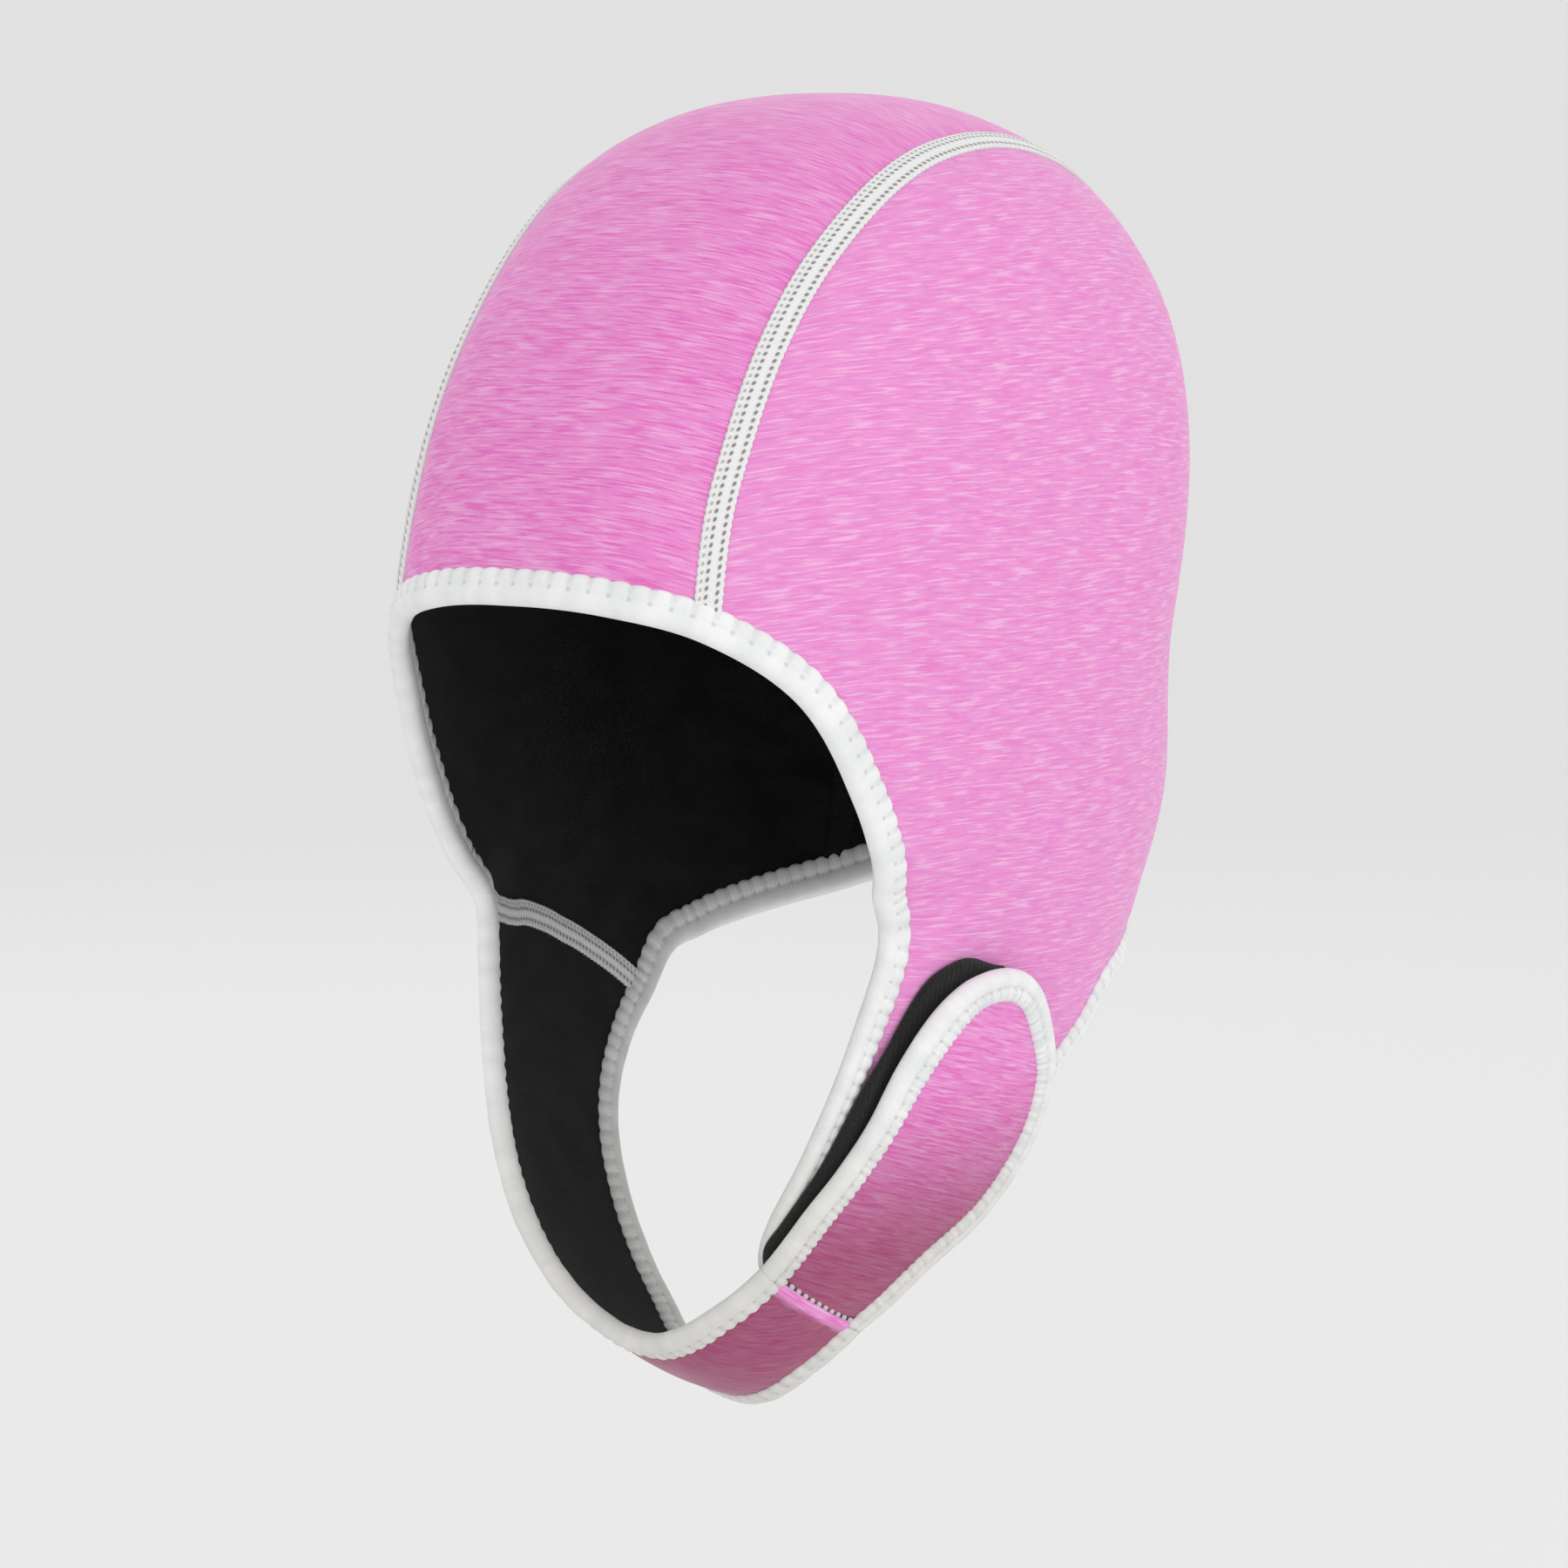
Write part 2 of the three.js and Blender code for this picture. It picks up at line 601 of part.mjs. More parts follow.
// The same spot charted from the other ear
function fromOtherEar({ ear, x, y, inward }) {
  const reach = Math.hypot(x, y);
  const scale = (2 - reach) / reach;
  return { ear: -ear, x: x * scale, y: y * scale, inward };
}

// The chin strap, from the right flap's seam under the chin to the sewn joint. Its rows
// bow with the seam at first, and with the joint near its end.
function chinStrap() {
  const gap = SEAM_GAP / 2;
  const frontEdge = FRONT_ROUTE.between('strap seam front', 'joint');
  const backEdge = BACK_ROUTE.between('strap seam back', 'joint');
  const joint = reversed(JOINT_LINE).map(fromOtherEar);
  const front = drawIn(frontEdge, EDGE_INSET);
  const back = drawIn(backEdge, EDGE_INSET);
  const start = drawIn(FLAP_SEAM, gap);
  const end = drawIn(joint, gap);
  const corner = (across, along) => insetCorner(across, across.inward, gap, along.inward, EDGE_INSET);
  start[0] = corner(FLAP_SEAM[0], frontEdge[0]);
  start[start.length - 1] = corner(FLAP_SEAM[FLAP_SEAM.length - 1], backEdge[0]);
  end[0] = corner(joint[0], frontEdge[frontEdge.length - 1]);
  end[end.length - 1] = corner(joint[joint.length - 1], backEdge[backEdge.length - 1]);
  front[0] = start[0];
  back[0] = start[start.length - 1];
  front[front.length - 1] = end[0];
  back[back.length - 1] = end[end.length - 1];
  const count = Math.max(front.length, back.length);
  const rows = [];
  for (let i = 0; i < count; i += 1) {
    const along = i / (count - 1);
    const a = pick(front, along);
    const b = pick(back, along);
    const arch = 1 - THREE.MathUtils.smoothstep(along, 0, STRAP_ARCH);
    const bend = THREE.MathUtils.smoothstep(along, 1 - STRAP_ARCH, 1);
    rows.push(start.map((spot, column) => {
      const across = column / (start.length - 1);
      const seamBow = bow(start, across);
      const jointBow = bow(end, across);
      const x = a.x + (b.x - a.x) * across + seamBow.x * arch + jointBow.x * bend;
      const y = a.y + (b.y - a.y) * across + seamBow.y * arch + jointBow.y * bend;
      return { ear: RIGHT, x, y, lift: strapRise };
    }));
  }
  return griddedSheet('chin_strap', rows, 0, -CLOTH, LOOKS.cloth);
}

// The tab beyond the sewn joint, and the two pads that fasten it
function strapTab() {
  const edge = insetLoop([
    { line: TAB_ROUTE.line, inset: EDGE_INSET },
    { line: flipped(JOINT_LINE), inset: SEAM_GAP / 2 },
  ]);
  return ringedSheet('strap_tab', edge.map(tabLift), PAD_CENTRE, TAB_RINGS, 0, -CLOTH, LOOKS.cloth);
}

function hookPad() {
  const edge = drawIn(TAB_ROUTE.between('front low', 'back bend'), PAD.edgeInset).map(tabLift);
  const top = -CLOTH - PAD.clearance;
  return ringedSheet('hook_pad', edge, PAD_CENTRE, TAB_RINGS, top, top - PAD.thickness, LOOKS.pad);
}

function loopPad() {
  const flap = route(LEFT, LEFT_EDGE, ['mouth', 'flap back'], STEP.pad).line;
  const edge = [...drawIn(flap, PAD.edgeInset), ...trace(LEFT, LOOP_PAD_TOP, 'back', 'front', STEP.pad)];
  const outer = PAD.clearance + PAD.thickness;
  return ringedSheet('loop_pad', edge, PAD_CENTRE, TAB_RINGS, outer, PAD.clearance, LOOKS.pad);
}

// Flat seams, which end just short of the bindings
function flatSeam(name, line, band, look) {
  return trim(name, shortenedBoth(line, band.endInset), flatSeamSection(band), look);
}

// Bindings, folded over every raw edge
function binding(name, line) {
  return trim(name, shortenedBoth(line, END_GAP), bindingSection(), LOOKS.trim);
}

function faceBinding() {
  const right = reversed(FRONT_ROUTE.line).map(strapLift);
  return binding('face_binding', [...right, ...LEFT_ROUTE.between('brow', 'under strap').slice(1)]);
}

function napeBinding() {
  const right = BACK_ROUTE.line.map(strapLift);
  return binding('nape_binding', [...LEFT_ROUTE.between('under strap', 'nape'), ...right.slice(1)]);
}

const swimCap = new THREE.Group();
swimCap.add(
  centrePanel(),
  leftSidePanel(),
  rightSidePanel(),
  chinStrap(),
  strapTab(),
  loopPad(),
  hookPad(),
  flatSeam('crown_seam_left', CROWN_LEFT, SEAM_BAND, LOOKS.trim),
  flatSeam('crown_seam_right', CROWN_RIGHT, SEAM_BAND, LOOKS.trim),
  flatSeam('strap_seam', FLAP_SEAM, SEAM_BAND, LOOKS.trim),
  flatSeam('strap_joint', JOINT_LINE.map(tabLift), JOINT_BAND, LOOKS.cloth),
  faceBinding(),
  napeBinding(),
  binding('tab_binding', TAB_ROUTE.line.map(tabLift)),
);

export default swimCap;
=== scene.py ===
"""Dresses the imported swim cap: heathered cloth, black lining, flat seams, bindings and pads."""

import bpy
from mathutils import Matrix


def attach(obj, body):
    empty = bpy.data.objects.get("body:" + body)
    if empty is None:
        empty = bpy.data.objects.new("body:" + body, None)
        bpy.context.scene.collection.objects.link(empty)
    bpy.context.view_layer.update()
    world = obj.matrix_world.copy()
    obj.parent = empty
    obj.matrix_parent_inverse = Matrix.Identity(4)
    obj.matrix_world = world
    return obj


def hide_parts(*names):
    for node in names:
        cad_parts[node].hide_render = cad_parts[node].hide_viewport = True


bl_info = {
    "name": "Swim Cap",
    "version": (1, 0, 0),
    "blender": (4, 5, 0),
    "location": "3D View > Sidebar > Swim Cap",
    "description": "Makes a three-panel swim cap with ear flaps, a chin strap and a tab",
    "category": "Add Mesh",
}

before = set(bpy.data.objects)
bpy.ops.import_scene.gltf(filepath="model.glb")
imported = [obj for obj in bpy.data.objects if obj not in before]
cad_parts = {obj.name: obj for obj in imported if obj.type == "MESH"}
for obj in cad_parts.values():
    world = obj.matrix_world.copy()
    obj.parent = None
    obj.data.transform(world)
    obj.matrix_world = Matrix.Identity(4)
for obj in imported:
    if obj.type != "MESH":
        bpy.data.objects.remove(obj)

import math
from collections import namedtuple

import bpy
import numpy as np
from mathutils import Matrix, Vector
from mathutils.kdtree import KDTree

# The cap is drawn in millimetres about its own origin, the inside of the crown
MM = 0.001
# The ear that a line is drawn about, and the sign of its side in X
LEFT = 1
RIGHT = -1

# The head form that the cap is sewn to: half its breadth, how full it is between its sides
# and its centre line, the share it gains in breadth every 100 mm back, and the ear's place
HALF_BREADTH = 70
FULLNESS = 2.4
BACK_SPREAD = 0.15
EAR_CENTRE = (-20.0, -158.2)
# Reach of the centre line from the ear, every 30 degrees up from straight ahead
HEAD_OUTLINE = np.array([105, 117, 138, 159, 159, 106, 96, 95, 120, 129, 121, 76.0])
# Share of the half breadth, every 50 mm of height from 150 mm below the ear
BREADTH_FLOOR = -150
BREADTH_STEP = 50
BREADTH_SHARES = np.array([0.73, 0.855, 0.9, 1.0, 1.09, 1.18, 1.27])

# Clearances and thicknesses of the sewn pieces, the same as in the solids
SEAM_GAP = 1.0
EDGE_INSET = 1.6
PAD_CLEARANCE = 0.8
PAD_THICKNESS = 1.2
PAD_INSET = 9.2

# The strap rises to the tab's height between these reaches. Spots lower than its top on
# the chart are the strap's. Its rows bow with the seam, and with the joint, over this share
# of its length.
STRAP_LIFT = (0.85, 1.2)
STRAP_TOP = -0.5
STRAP_ARCH = 0.35
# Degrees by which the flat strap turns towards the joint, and by which the tab's outline
# and its knit are turned on their flat maps
STRAP_TURN = 40.0
TAB_TURN = 20.0
KNIT_TURN = 12.0

# Between these depths the binding's stitches grow shorter and its tape narrower, by these
# shares. The tab's binding grows wide again between its heights.
TIGHT_DEPTHS = (110, 190)
TIGHTNESS = 0.24
NARROW_DEPTHS = (150, 235)
NARROWING = 0.3
TAB_WIDE_HEIGHTS = (-232, -195)
# Painted shade: cloth and tape are darkened downwards between these heights, for the shade
# under the chin, and the fold at the joint is darkened across itself between these distances
SHADED_HEIGHTS = (-206, -256)
FOLD_FADE = (0.7, 2.8)

# Steps of a walk along the form, the chart step that its slopes are measured over, and the
# number of spots that a line is traced with
WALK_STEPS = 3
SLOPE_STEP = 0.002
TRACED_SPOTS = 4000
# Distances between the spots of lines that relief and bindings follow
RELIEF_STEP = 0.6
BINDING_STEP = 0.62
TAB_STEP = 0.45
# Two lines that meet with less turn than this cosine make no corner. Near a corner, spots
# nearer than the clear distance to its other line are left out.
STRAIGHT_ON = 0.9
CORNER_RADIUS = 12
CORNER_CLEAR = 0.4
# Grid of the flat map about the ear
MAP_DEGREES = 2.0
MAP_RINGS = 60

# Outlines on the form: angle about the ear, up from straight ahead, and reach, which is 0
# at the ear and 1 at the centre line
Spot = namedtuple("Spot", "place angle reach")
FACE_EDGE = [
    Spot("brow", 27, 1.0),
    Spot("forehead", 27.1, 0.81),
    Spot("brow seam", 27.2, 0.62),
    Spot("temple", 24, 0.43),
    Spot("eye", 11, 0.312),
    Spot("cheekbone", -4, 0.281),
    Spot("cheek", -18, 0.335),
    Spot("strap seam front", -28, 0.362),
    Spot("mouth", -41, 0.388),
    Spot("jaw", -48.5, 0.43),
    Spot("chin side", -53.5, 0.51),
]
NAPE_EDGE = [
    Spot("nape", -165.5, 1.0),
    Spot("hollow", -164.7, 0.9),
    Spot("hairline", -162.2, 0.79),
    Spot("nape seam", -159, 0.7),
    Spot("behind ear", -152, 0.54),
    Spot("ear back", -143.5, 0.415),
    Spot("ear low", -135, 0.335),
    Spot("strap seam back", -122.5, 0.302),
    Spot("lobe", -111, 0.3),
]
LEFT_FLAP_END = [
    Spot("tip front", -57.5, 0.62),
    Spot("tip", -61.5, 0.672),
    Spot("tip low", -68, 0.675),
    Spot("tip back", -74, 0.61),
    Spot("under strap", -78.5, 0.51),
    Spot("under tab", -84, 0.42),
    Spot("flap back", -92, 0.35),
    Spot("flap lobe", -101, 0.315),
]
STRAP_FRONT = [
    Spot("low jaw", -58.5, 0.625),
    Spot("chin right", -62.5, 0.75),
    Spot("chin near", -64.5, 0.87),
    Spot("chin", -64, 1.0),
    Spot("chin past", -62, 1.1),
    Spot("chin left", -60.5, 1.19),
    Spot("rise", -59.8, 1.27),
    Spot("joint", -59.2, 1.335),
]
STRAP_BACK = [
    Spot("back start", -101, 0.335),
    Spot("back low", -95.5, 0.4),
    Spot("jaw under", -92.5, 0.5),
    Spot("throat right", -90.5, 0.61),
    Spot("throat near", -88.5, 0.73),
    Spot("throat", -85, 0.87),
    Spot("throat mid", -81, 1.0),
    Spot("throat past", -77.8, 1.13),
    Spot("throat left", -76.5, 1.25),
    Spot("joint", -76.8, 1.375),
]
CROWN_SEAM = [
    Spot("brow", 27.2, 0.62),
    Spot("forehead", 45, 0.655),
    Spot("front crown", 70, 0.7),
    Spot("crown", 100, 0.75),
    Spot("back crown", 130, 0.752),
    Spot("back", 162, 0.722),
    Spot("low back", 185, 0.715),
    Spot("nape", 201, 0.7),
]
STRAP_SEAM = [
    Spot("front", -28, 0.362),
    Spot("cheek", -38, 0.257),
    Spot("cheek back", -48, 0.176),
    Spot("ear front", -55, 0.142),
    Spot("ear low", -66, 0.116),
    Spot("ear", -81, 0.112),
    Spot("ear back", -95, 0.126),
    Spot("behind", -106, 0.152),
    Spot("low behind", -117.5, 0.22),
    Spot("back", -122.5, 0.302),
]
TAB_EDGE = [
    Spot("joint front", -59.2, 0.665),
    Spot("front low", -57.6, 0.56),
    Spot("front mid", -56.9, 0.475),
    Spot("front high", -55.8, 0.395),
    Spot("front top", -53, 0.32),
    Spot("shoulder", -51.5, 0.245),
    Spot("end front", -55, 0.17),
    Spot("end", -69, 0.12),
    Spot("end back", -88, 0.125),
    Spot("back top", -99.5, 0.18),
    Spot("back high", -102, 0.245),
    Spot("back mid", -97.5, 0.325),
    Spot("back low", -89.5, 0.415),
    Spot("back bend", -81, 0.505),
    Spot("joint back", -76.8, 0.625),
]
JOINT = [
    Spot("back", -76.8, 0.625),
    Spot("middle", -68, 0.63),
    Spot("front", -59.2, 0.665),
]
LOOP_PAD = [
    Spot("top", -77.6, 0.117),
    Spot("top front", -59, 0.134),
    Spot("corner", -50.5, 0.18),
    Spot("front high", -47.4, 0.245),
    Spot("front", -50.4, 0.32),
    Spot("front mid", -52.3, 0.388),
    Spot("front low", -55.6, 0.487),
    Spot("tip front", -57.5, 0.595),
    Spot("tip near", -59, 0.652),
    Spot("tip", -64, 0.664),
    Spot("tip back", -71, 0.61),
    Spot("back low", -79, 0.49),
    Spot("back mid", -87, 0.39),
    Spot("back", -95, 0.29),
    Spot("back high", -96.5, 0.225),
    Spot("back top", -92, 0.155),
    Spot("top again", -77.6, 0.117),
]
LEFT_EDGE = FACE_EDGE + LEFT_FLAP_END + NAPE_EDGE[::-1]
RIGHT_FRONT = FACE_EDGE + STRAP_FRONT
RIGHT_BACK = NAPE_EDGE + STRAP_BACK

# How a line of spots is carried: on the head, on the rising strap or on the closed tab
ON_HEAD = 0
ON_STRAP = 1
ON_TAB = 2


def smooth(value, start, end):
    t = np.clip((value - start) / (end - start), 0, 1)
    return t * t * (3 - 2 * t)


def blend(before, start, end, after, t):
    bend = 2 * before - 5 * start + 4 * end - after
    twist = 3 * (start - end) + after - before
    return 0.5 * (2 * start + (end - before) * t + bend * t ** 2 + twist * t ** 3)


def outline_reach(angle):
    count = len(HEAD_OUTLINE)
    turn = np.mod(angle / 360, 1) * count
    row = np.floor(turn).astype(int)
    reach = [HEAD_OUTLINE[(row + offset) % count] for offset in (-1, 0, 1, 2)]
    return blend(*reach, turn - row)


def breadth_share(height):
    last = len(BREADTH_SHARES) - 1
    at = np.clip((height - BREADTH_FLOOR) / BREADTH_STEP, 0, last - 1e-6)
    row = np.floor(at).astype(int)
    share = [BREADTH_SHARES[np.clip(row + offset, 0, last)] for offset in (-1, 0, 1, 2)]
    return blend(*share, at - row)


def form_point(ear, x, y):
    """Points of the head form, from the chart about an ear: x back and y up, in reach."""
    reach = np.hypot(x, y)
    angle = np.arctan2(y, -x)
    near = reach <= 1
    turn = math.pi / 2 * np.maximum(np.where(near, reach, 2 - reach), 0)
    power = 2 / FULLNESS
    radius = outline_reach(np.degrees(angle)) * np.sin(turn) ** power
    back = -radius * np.cos(angle)
    up = radius * np.sin(angle)
    spread = breadth_share(up) * (1 + BACK_SPREAD * back / 100)
    across = HALF_BREADTH * np.abs(np.cos(turn)) ** power * spread
    side = np.where(near, ear, -ear)
    return np.stack([side * across, back + EAR_CENTRE[0], up + EAR_CENTRE[1]], -1)


def slopes(ear, x, y):
    step = SLOPE_STEP
    back = (form_point(ear, x + step, y) - form_point(ear, x - step, y)) / (2 * step)
    up = (form_point(ear, x, y + step) - form_point(ear, x, y - step)) / (2 * step)
    return back, up


def unit(vectors):
    return vectors / np.maximum(np.linalg.norm(vectors, axis=-1, keepdims=True), 1e-12)


def hump(value, middle, width):
    """1 at the middle, and next to nothing two widths away."""
    return np.exp(-((value - middle) / width) ** 2)


def lengths_along(points, axis=0):
    """How far each point is along its row, by way of those before it."""
    steps = np.linalg.norm(np.diff(points, axis=axis), axis=-1)
    start = np.zeros_like(np.take(steps, [0], axis=axis))
    return np.concatenate([start, np.cumsum(steps, axis=axis)], axis=axis)


def outward(ear, x, y):
    back, up = slopes(ear, x, y)
    return unit(np.cross(back, up) * np.expand_dims(ear, -1))


class Line:
    """A row of spots on the form, with the way into the cloth and how it is carried."""

    def __init__(self, ear, x, y, inward=None, held=ON_HEAD):
        self.x = np.asarray(x, float)
        self.y = np.asarray(y, float)
        self.ear = np.broadcast_to(np.asarray(ear), self.x.shape)
        self.inward = inward
        self.held = np.broadcast_to(np.asarray(held), self.x.shape)

    def __len__(self):
        return len(self.x)

    def __getitem__(self, part):
        inward = None if self.inward is None else self.inward[part]
        return Line(self.ear[part], self.x[part], self.y[part], inward, self.held[part])

    def points(self, height=0.0):
        """The points at a height above the cloth's outer face."""
        lift = strap_rise(np.hypot(self.x, self.y))
        lift = np.where(self.held == ON_STRAP, lift, np.where(self.held == ON_TAB, tab_lift(), 0))
        rise = np.expand_dims(lift + height, -1)
        return form_point(self.ear, self.x, self.y) + outward(self.ear, self.x, self.y) * rise

    def flipped(self):
        """The line with its cloth on the other side."""
        return Line(self.ear, self.x, self.y, -self.inward, self.held)

    def carried(self, held):
        return Line(self.ear, self.x, self.y, self.inward, held)

    def walked(self, direction, distance):
        """The spots a distance away along the form."""
        x, y = self.x.copy(), self.y.copy()
        for _ in range(WALK_STEPS):
            back, up = slopes(self.ear, x, y)
            bb = (back * back).sum(-1)
            uu = (up * up).sum(-1)
            bu = (back * up).sum(-1)
            db = (direction * back).sum(-1) * distance / WALK_STEPS
            du = (direction * up).sum(-1) * distance / WALK_STEPS
            scale = bb * uu - bu * bu
            x = x + (db * uu - du * bu) / scale
            y = y + (du * bb - db * bu) / scale
        return Line(self.ear, x, y, self.inward, self.held)

    def drawn_in(self, distance):
        return self.walked(self.inward, distance)

    def lengths(self):
        return lengths_along(self.points())

    def stitched(self, pitch):
        """The places along the line, measured in stitches of the given pitch. Low down, where
        the tape is stretched less, the stitches lie closer together."""
        points = self.points()
        steps = np.linalg.norm(np.diff(points, axis=0), axis=1)
        low = smooth(-(points[1:, 2] + points[:-1, 2]) / 2, *TIGHT_DEPTHS)
        along = np.concatenate([[0], np.cumsum(steps / (1 - TIGHTNESS * low))])
        return along * (pitch * max(1, round(along[-1] / pitch)) / along[-1])

    def squared(self, start=None, end=None, over=6.0):
        """The line with the way into the cloth turned to given directions at its ends."""
        along = self.lengths()
        inward = self.inward
        for direction, away in ((start, along), (end, along[-1] - along)):
            if direction is not None:
                share = (1 - smooth(away, 0, over))[:, None]
                inward = unit(inward * (1 - share) + direction * share)
        return Line(self.ear, self.x, self.y, inward, self.held)

    def trimmed(self, distance):
        """The same line with a length taken off each end."""
        along = self.lengths()
        return self.spread(along, np.linspace(distance, along[-1] - distance, len(self)))

    def spread(self, along, places):
        """The line's spots at given places along it."""
        x = np.interp(places, along, self.x)
        y = np.interp(places, along, self.y)
        near = np.clip(np.searchsorted(along, places), 1, len(along) - 1)
        share = ((places - along[near - 1]) / (along[near] - along[near - 1]))[:, None]
        inward = None
        if self.inward is not None:
            inward = unit(self.inward[near - 1] * (1 - share) + self.inward[near] * share)
        pick = np.where(share[:, 0] > 0.5, near, near - 1)
        return Line(self.ear[pick], x, y, inward, self.held[pick])


def gathered(parts, inward=None):
    """One line of all the spots of several."""
    keys = ("ear", "x", "y", "held")
    ear, x, y, held = (np.concatenate([getattr(part, key) for part in parts]) for key in keys)
    return Line(ear, x, y, inward, held)


def joined(*lines):
    """One line from several that follow each other. Shared end spots are kept once."""
    parts = [lines[0]] + [line[1:] for line in lines[1:]]
    if any(part.inward is None for part in parts):
        return gathered(parts)
    return gathered(parts, np.concatenate([part.inward for part in parts]))


def sizes():
    return bpy.context.scene.swim_cap_sizes


def colours():
    return bpy.context.scene.swim_cap_colours


def cloth_thickness():
    return sizes().cloth_thickness / MM


def tab_lift():
    return 3 * PAD_CLEARANCE + 2 * PAD_THICKNESS + cloth_thickness()


def strap_rise(reach):
    return tab_lift() * smooth(reach, *STRAP_LIFT)


def chart(spot):
    """A spot's place on the chart about the ear."""
    turn = math.radians(spot.angle)
    return np.array([-spot.reach * math.cos(turn), spot.reach * math.sin(turn)])


def traced(ear, rows, first, last, step):
    """Evenly spaced spots along a named outline, from one of its places to another."""
    spots = np.array([chart(row) for row in rows])
    names = [row.place for row in rows]
    start, end = names.index(first), names.index(last)
    fine = np.linspace(start, end, TRACED_SPOTS)
    row = np.clip(np.floor(fine).astype(int), 0, len(rows) - 2)
    top = len(rows) - 1
    near = [spots[np.clip(row + offset, 0, top)] for offset in (-1, 0, 1, 2)]
    curve = blend(*near, (fine - row)[:, None])
    along = lengths_along(form_point(ear, curve[:, 0], curve[:, 1]))
    count = max(2, round(along[-1] / step))
    even = np.linspace(0, along[-1], count + 1)
    return Line(ear, np.interp(even, along, curve[:, 0]), np.interp(even, along, curve[:, 1]))


def with_inward(line, side=1):
    """The line with the way into the cloth: on its left, or on its right where side is -1."""
    points = form_point(line.ear, line.x, line.y)
    tangent = np.empty_like(points)
    tangent[1:-1] = points[2:] - points[:-2]
    tangent[0] = points[1] - points[0]
    tangent[-1] = points[-1] - points[-2]
    left = np.cross(outward(line.ear, line.x, line.y), tangent)
    on_centre = np.abs(np.hypot(line.x, line.y) - 1) < 1e-6
    left[on_centre, 0] = 0
    return Line(line.ear, line.x, line.y, unit(left) * side, line.held)


def route(ear, rows, stops, step, side=1):
    """The line along a named outline that has a spot at each of its stops."""
    pieces = [traced(ear, rows, a, b, step) for a, b in zip(stops, stops[1:])]
    return with_inward(joined(*pieces), side)


def inset_corner(spot, first, first_inset, second, second_inset):
    """The corner of two lines that are drawn in by different distances."""
    cosine = float(np.dot(first, second))
    if cosine > STRAIGHT_ON:
        return spot.walked(second[None], second_inset)
    scale = 1 - cosine * cosine
    move = first * (first_inset - cosine * second_inset) / scale
    move = move + second * (second_inset - cosine * first_inset) / scale
    distance = float(np.linalg.norm(move))
    return spot.walked(move[None] / distance, distance)


def inset_loop(parts):
    """A closed loop of lines, each drawn in by its own distance. Spots that end up past a
    corner are left out."""
    corners = []
    for index, (line, inset) in enumerate(parts):
        before, before_inset = parts[index - 1]
        ways = before.inward[-1], before_inset, line.inward[0], inset
        corners.append(inset_corner(line[:1], *ways))
    pieces = []
    for index, (line, inset) in enumerate(parts):
        drawn = line.drawn_in(inset)[1:-1]
        points = drawn.points()
        after = corners[(index + 1) % len(parts)]
        kept = np.ones(len(points), bool)
        ends = (corners[index], points[3] - points[0]), (after, points[-4] - points[-1])
        for corner, way in ends:
            off = points - corner.points()[0]
            near = np.linalg.norm(off, axis=1) < CORNER_RADIUS
            kept &= ~(near & (off @ unit(way) < CORNER_CLEAR))
        pieces += [corners[index], drawn[kept]]
    return gathered(pieces)


def resampled(line, share):
    """Chart places part of the way along a line, by its spots."""
    at = np.asarray(share) * (len(line) - 1)
    index = np.arange(len(line))
    return np.stack([np.interp(at, index, line.x), np.interp(at, index, line.y)], -1)


def bow(line, share):
    """How far a line bows from the straight way between its ends."""
    ends = np.array([[line.x[0], line.y[0]], [line.x[-1], line.y[-1]]])
    return resampled(line, share) - (ends[0] + (ends[1] - ends[0]) * np.asarray(share)[..., None])


def from_other_ear(line):
    """The same line on the chart about the other ear."""
    reach = np.hypot(line.x, line.y)
    scale = (2 - reach) / reach
    return Line(-line.ear, line.x * scale, line.y * scale, line.inward, line.held)


# Soft relief of the cloth: how fast each wave turns every millimetre, its phase, and its
# height in millimetres
SOFT_WAVES = [
    ((0.041, 0.013, 0.052), 0.4, 0.16),
    ((-0.022, 0.061, 0.031), 2.1, 0.13),
    ((0.083, -0.047, 0.029), 4.0, 0.07),
    ((0.019, 0.094, -0.071), 5.2, 0.06),
]


def soft_relief(points):
    height = 0
    for turns, phase, amount in SOFT_WAVES:
        height = height + amount * np.sin(points @ np.array(turns) + phase)
    return height


def scallop(along, pitch):
    """0 at each stitch and 1 halfway between two."""
    return np.abs(np.sin(math.pi * along / pitch))


# Meshes
def make_piece(name, points, faces, uv, face_slots, materials):
    """An object at the origin from points in millimetres, with a map along its own cloth."""
    mesh = bpy.data.meshes.new(name)
    mesh.from_pydata((np.asarray(points) * MM).tolist(), [], faces)
    mesh.uv_layers.new(name="cloth_map")
    corner = np.empty(len(mesh.loops), int)
    mesh.loops.foreach_get("vertex_index", corner)
    mesh.uv_layers["cloth_map"].data.foreach_set("uv", (np.asarray(uv)[corner] * MM).ravel())
    for material in materials:
        mesh.materials.append(material)
    mesh.polygons.foreach_set("material_index", np.asarray(face_slots, dtype=np.int32))
    mesh.polygons.foreach_set("use_smooth", np.ones(len(mesh.polygons), dtype=bool))
    mesh.update()
    mesh.validate()
    piece = bpy.data.objects.new(name, mesh)
    bpy.context.scene.collection.objects.link(piece)
    face_out(piece)
    return piece


def face_out(piece):
    """Turns the faces of a closed piece outwards."""
    bpy.ops.object.select_all(action="DESELECT")
    piece.select_set(True)
    bpy.context.view_layer.objects.active = piece
    bpy.ops.object.mode_set(mode="EDIT")
    bpy.ops.mesh.select_all(action="SELECT")
    bpy.ops.mesh.normals_make_consistent(inside=False)
    bpy.ops.object.mode_set(mode="OBJECT")


def quads(a, b, c, d):
    """Four-sided faces from the numbers of their corners."""
    return np.stack([a, b, c, d], -1).reshape(-1, 4).tolist()


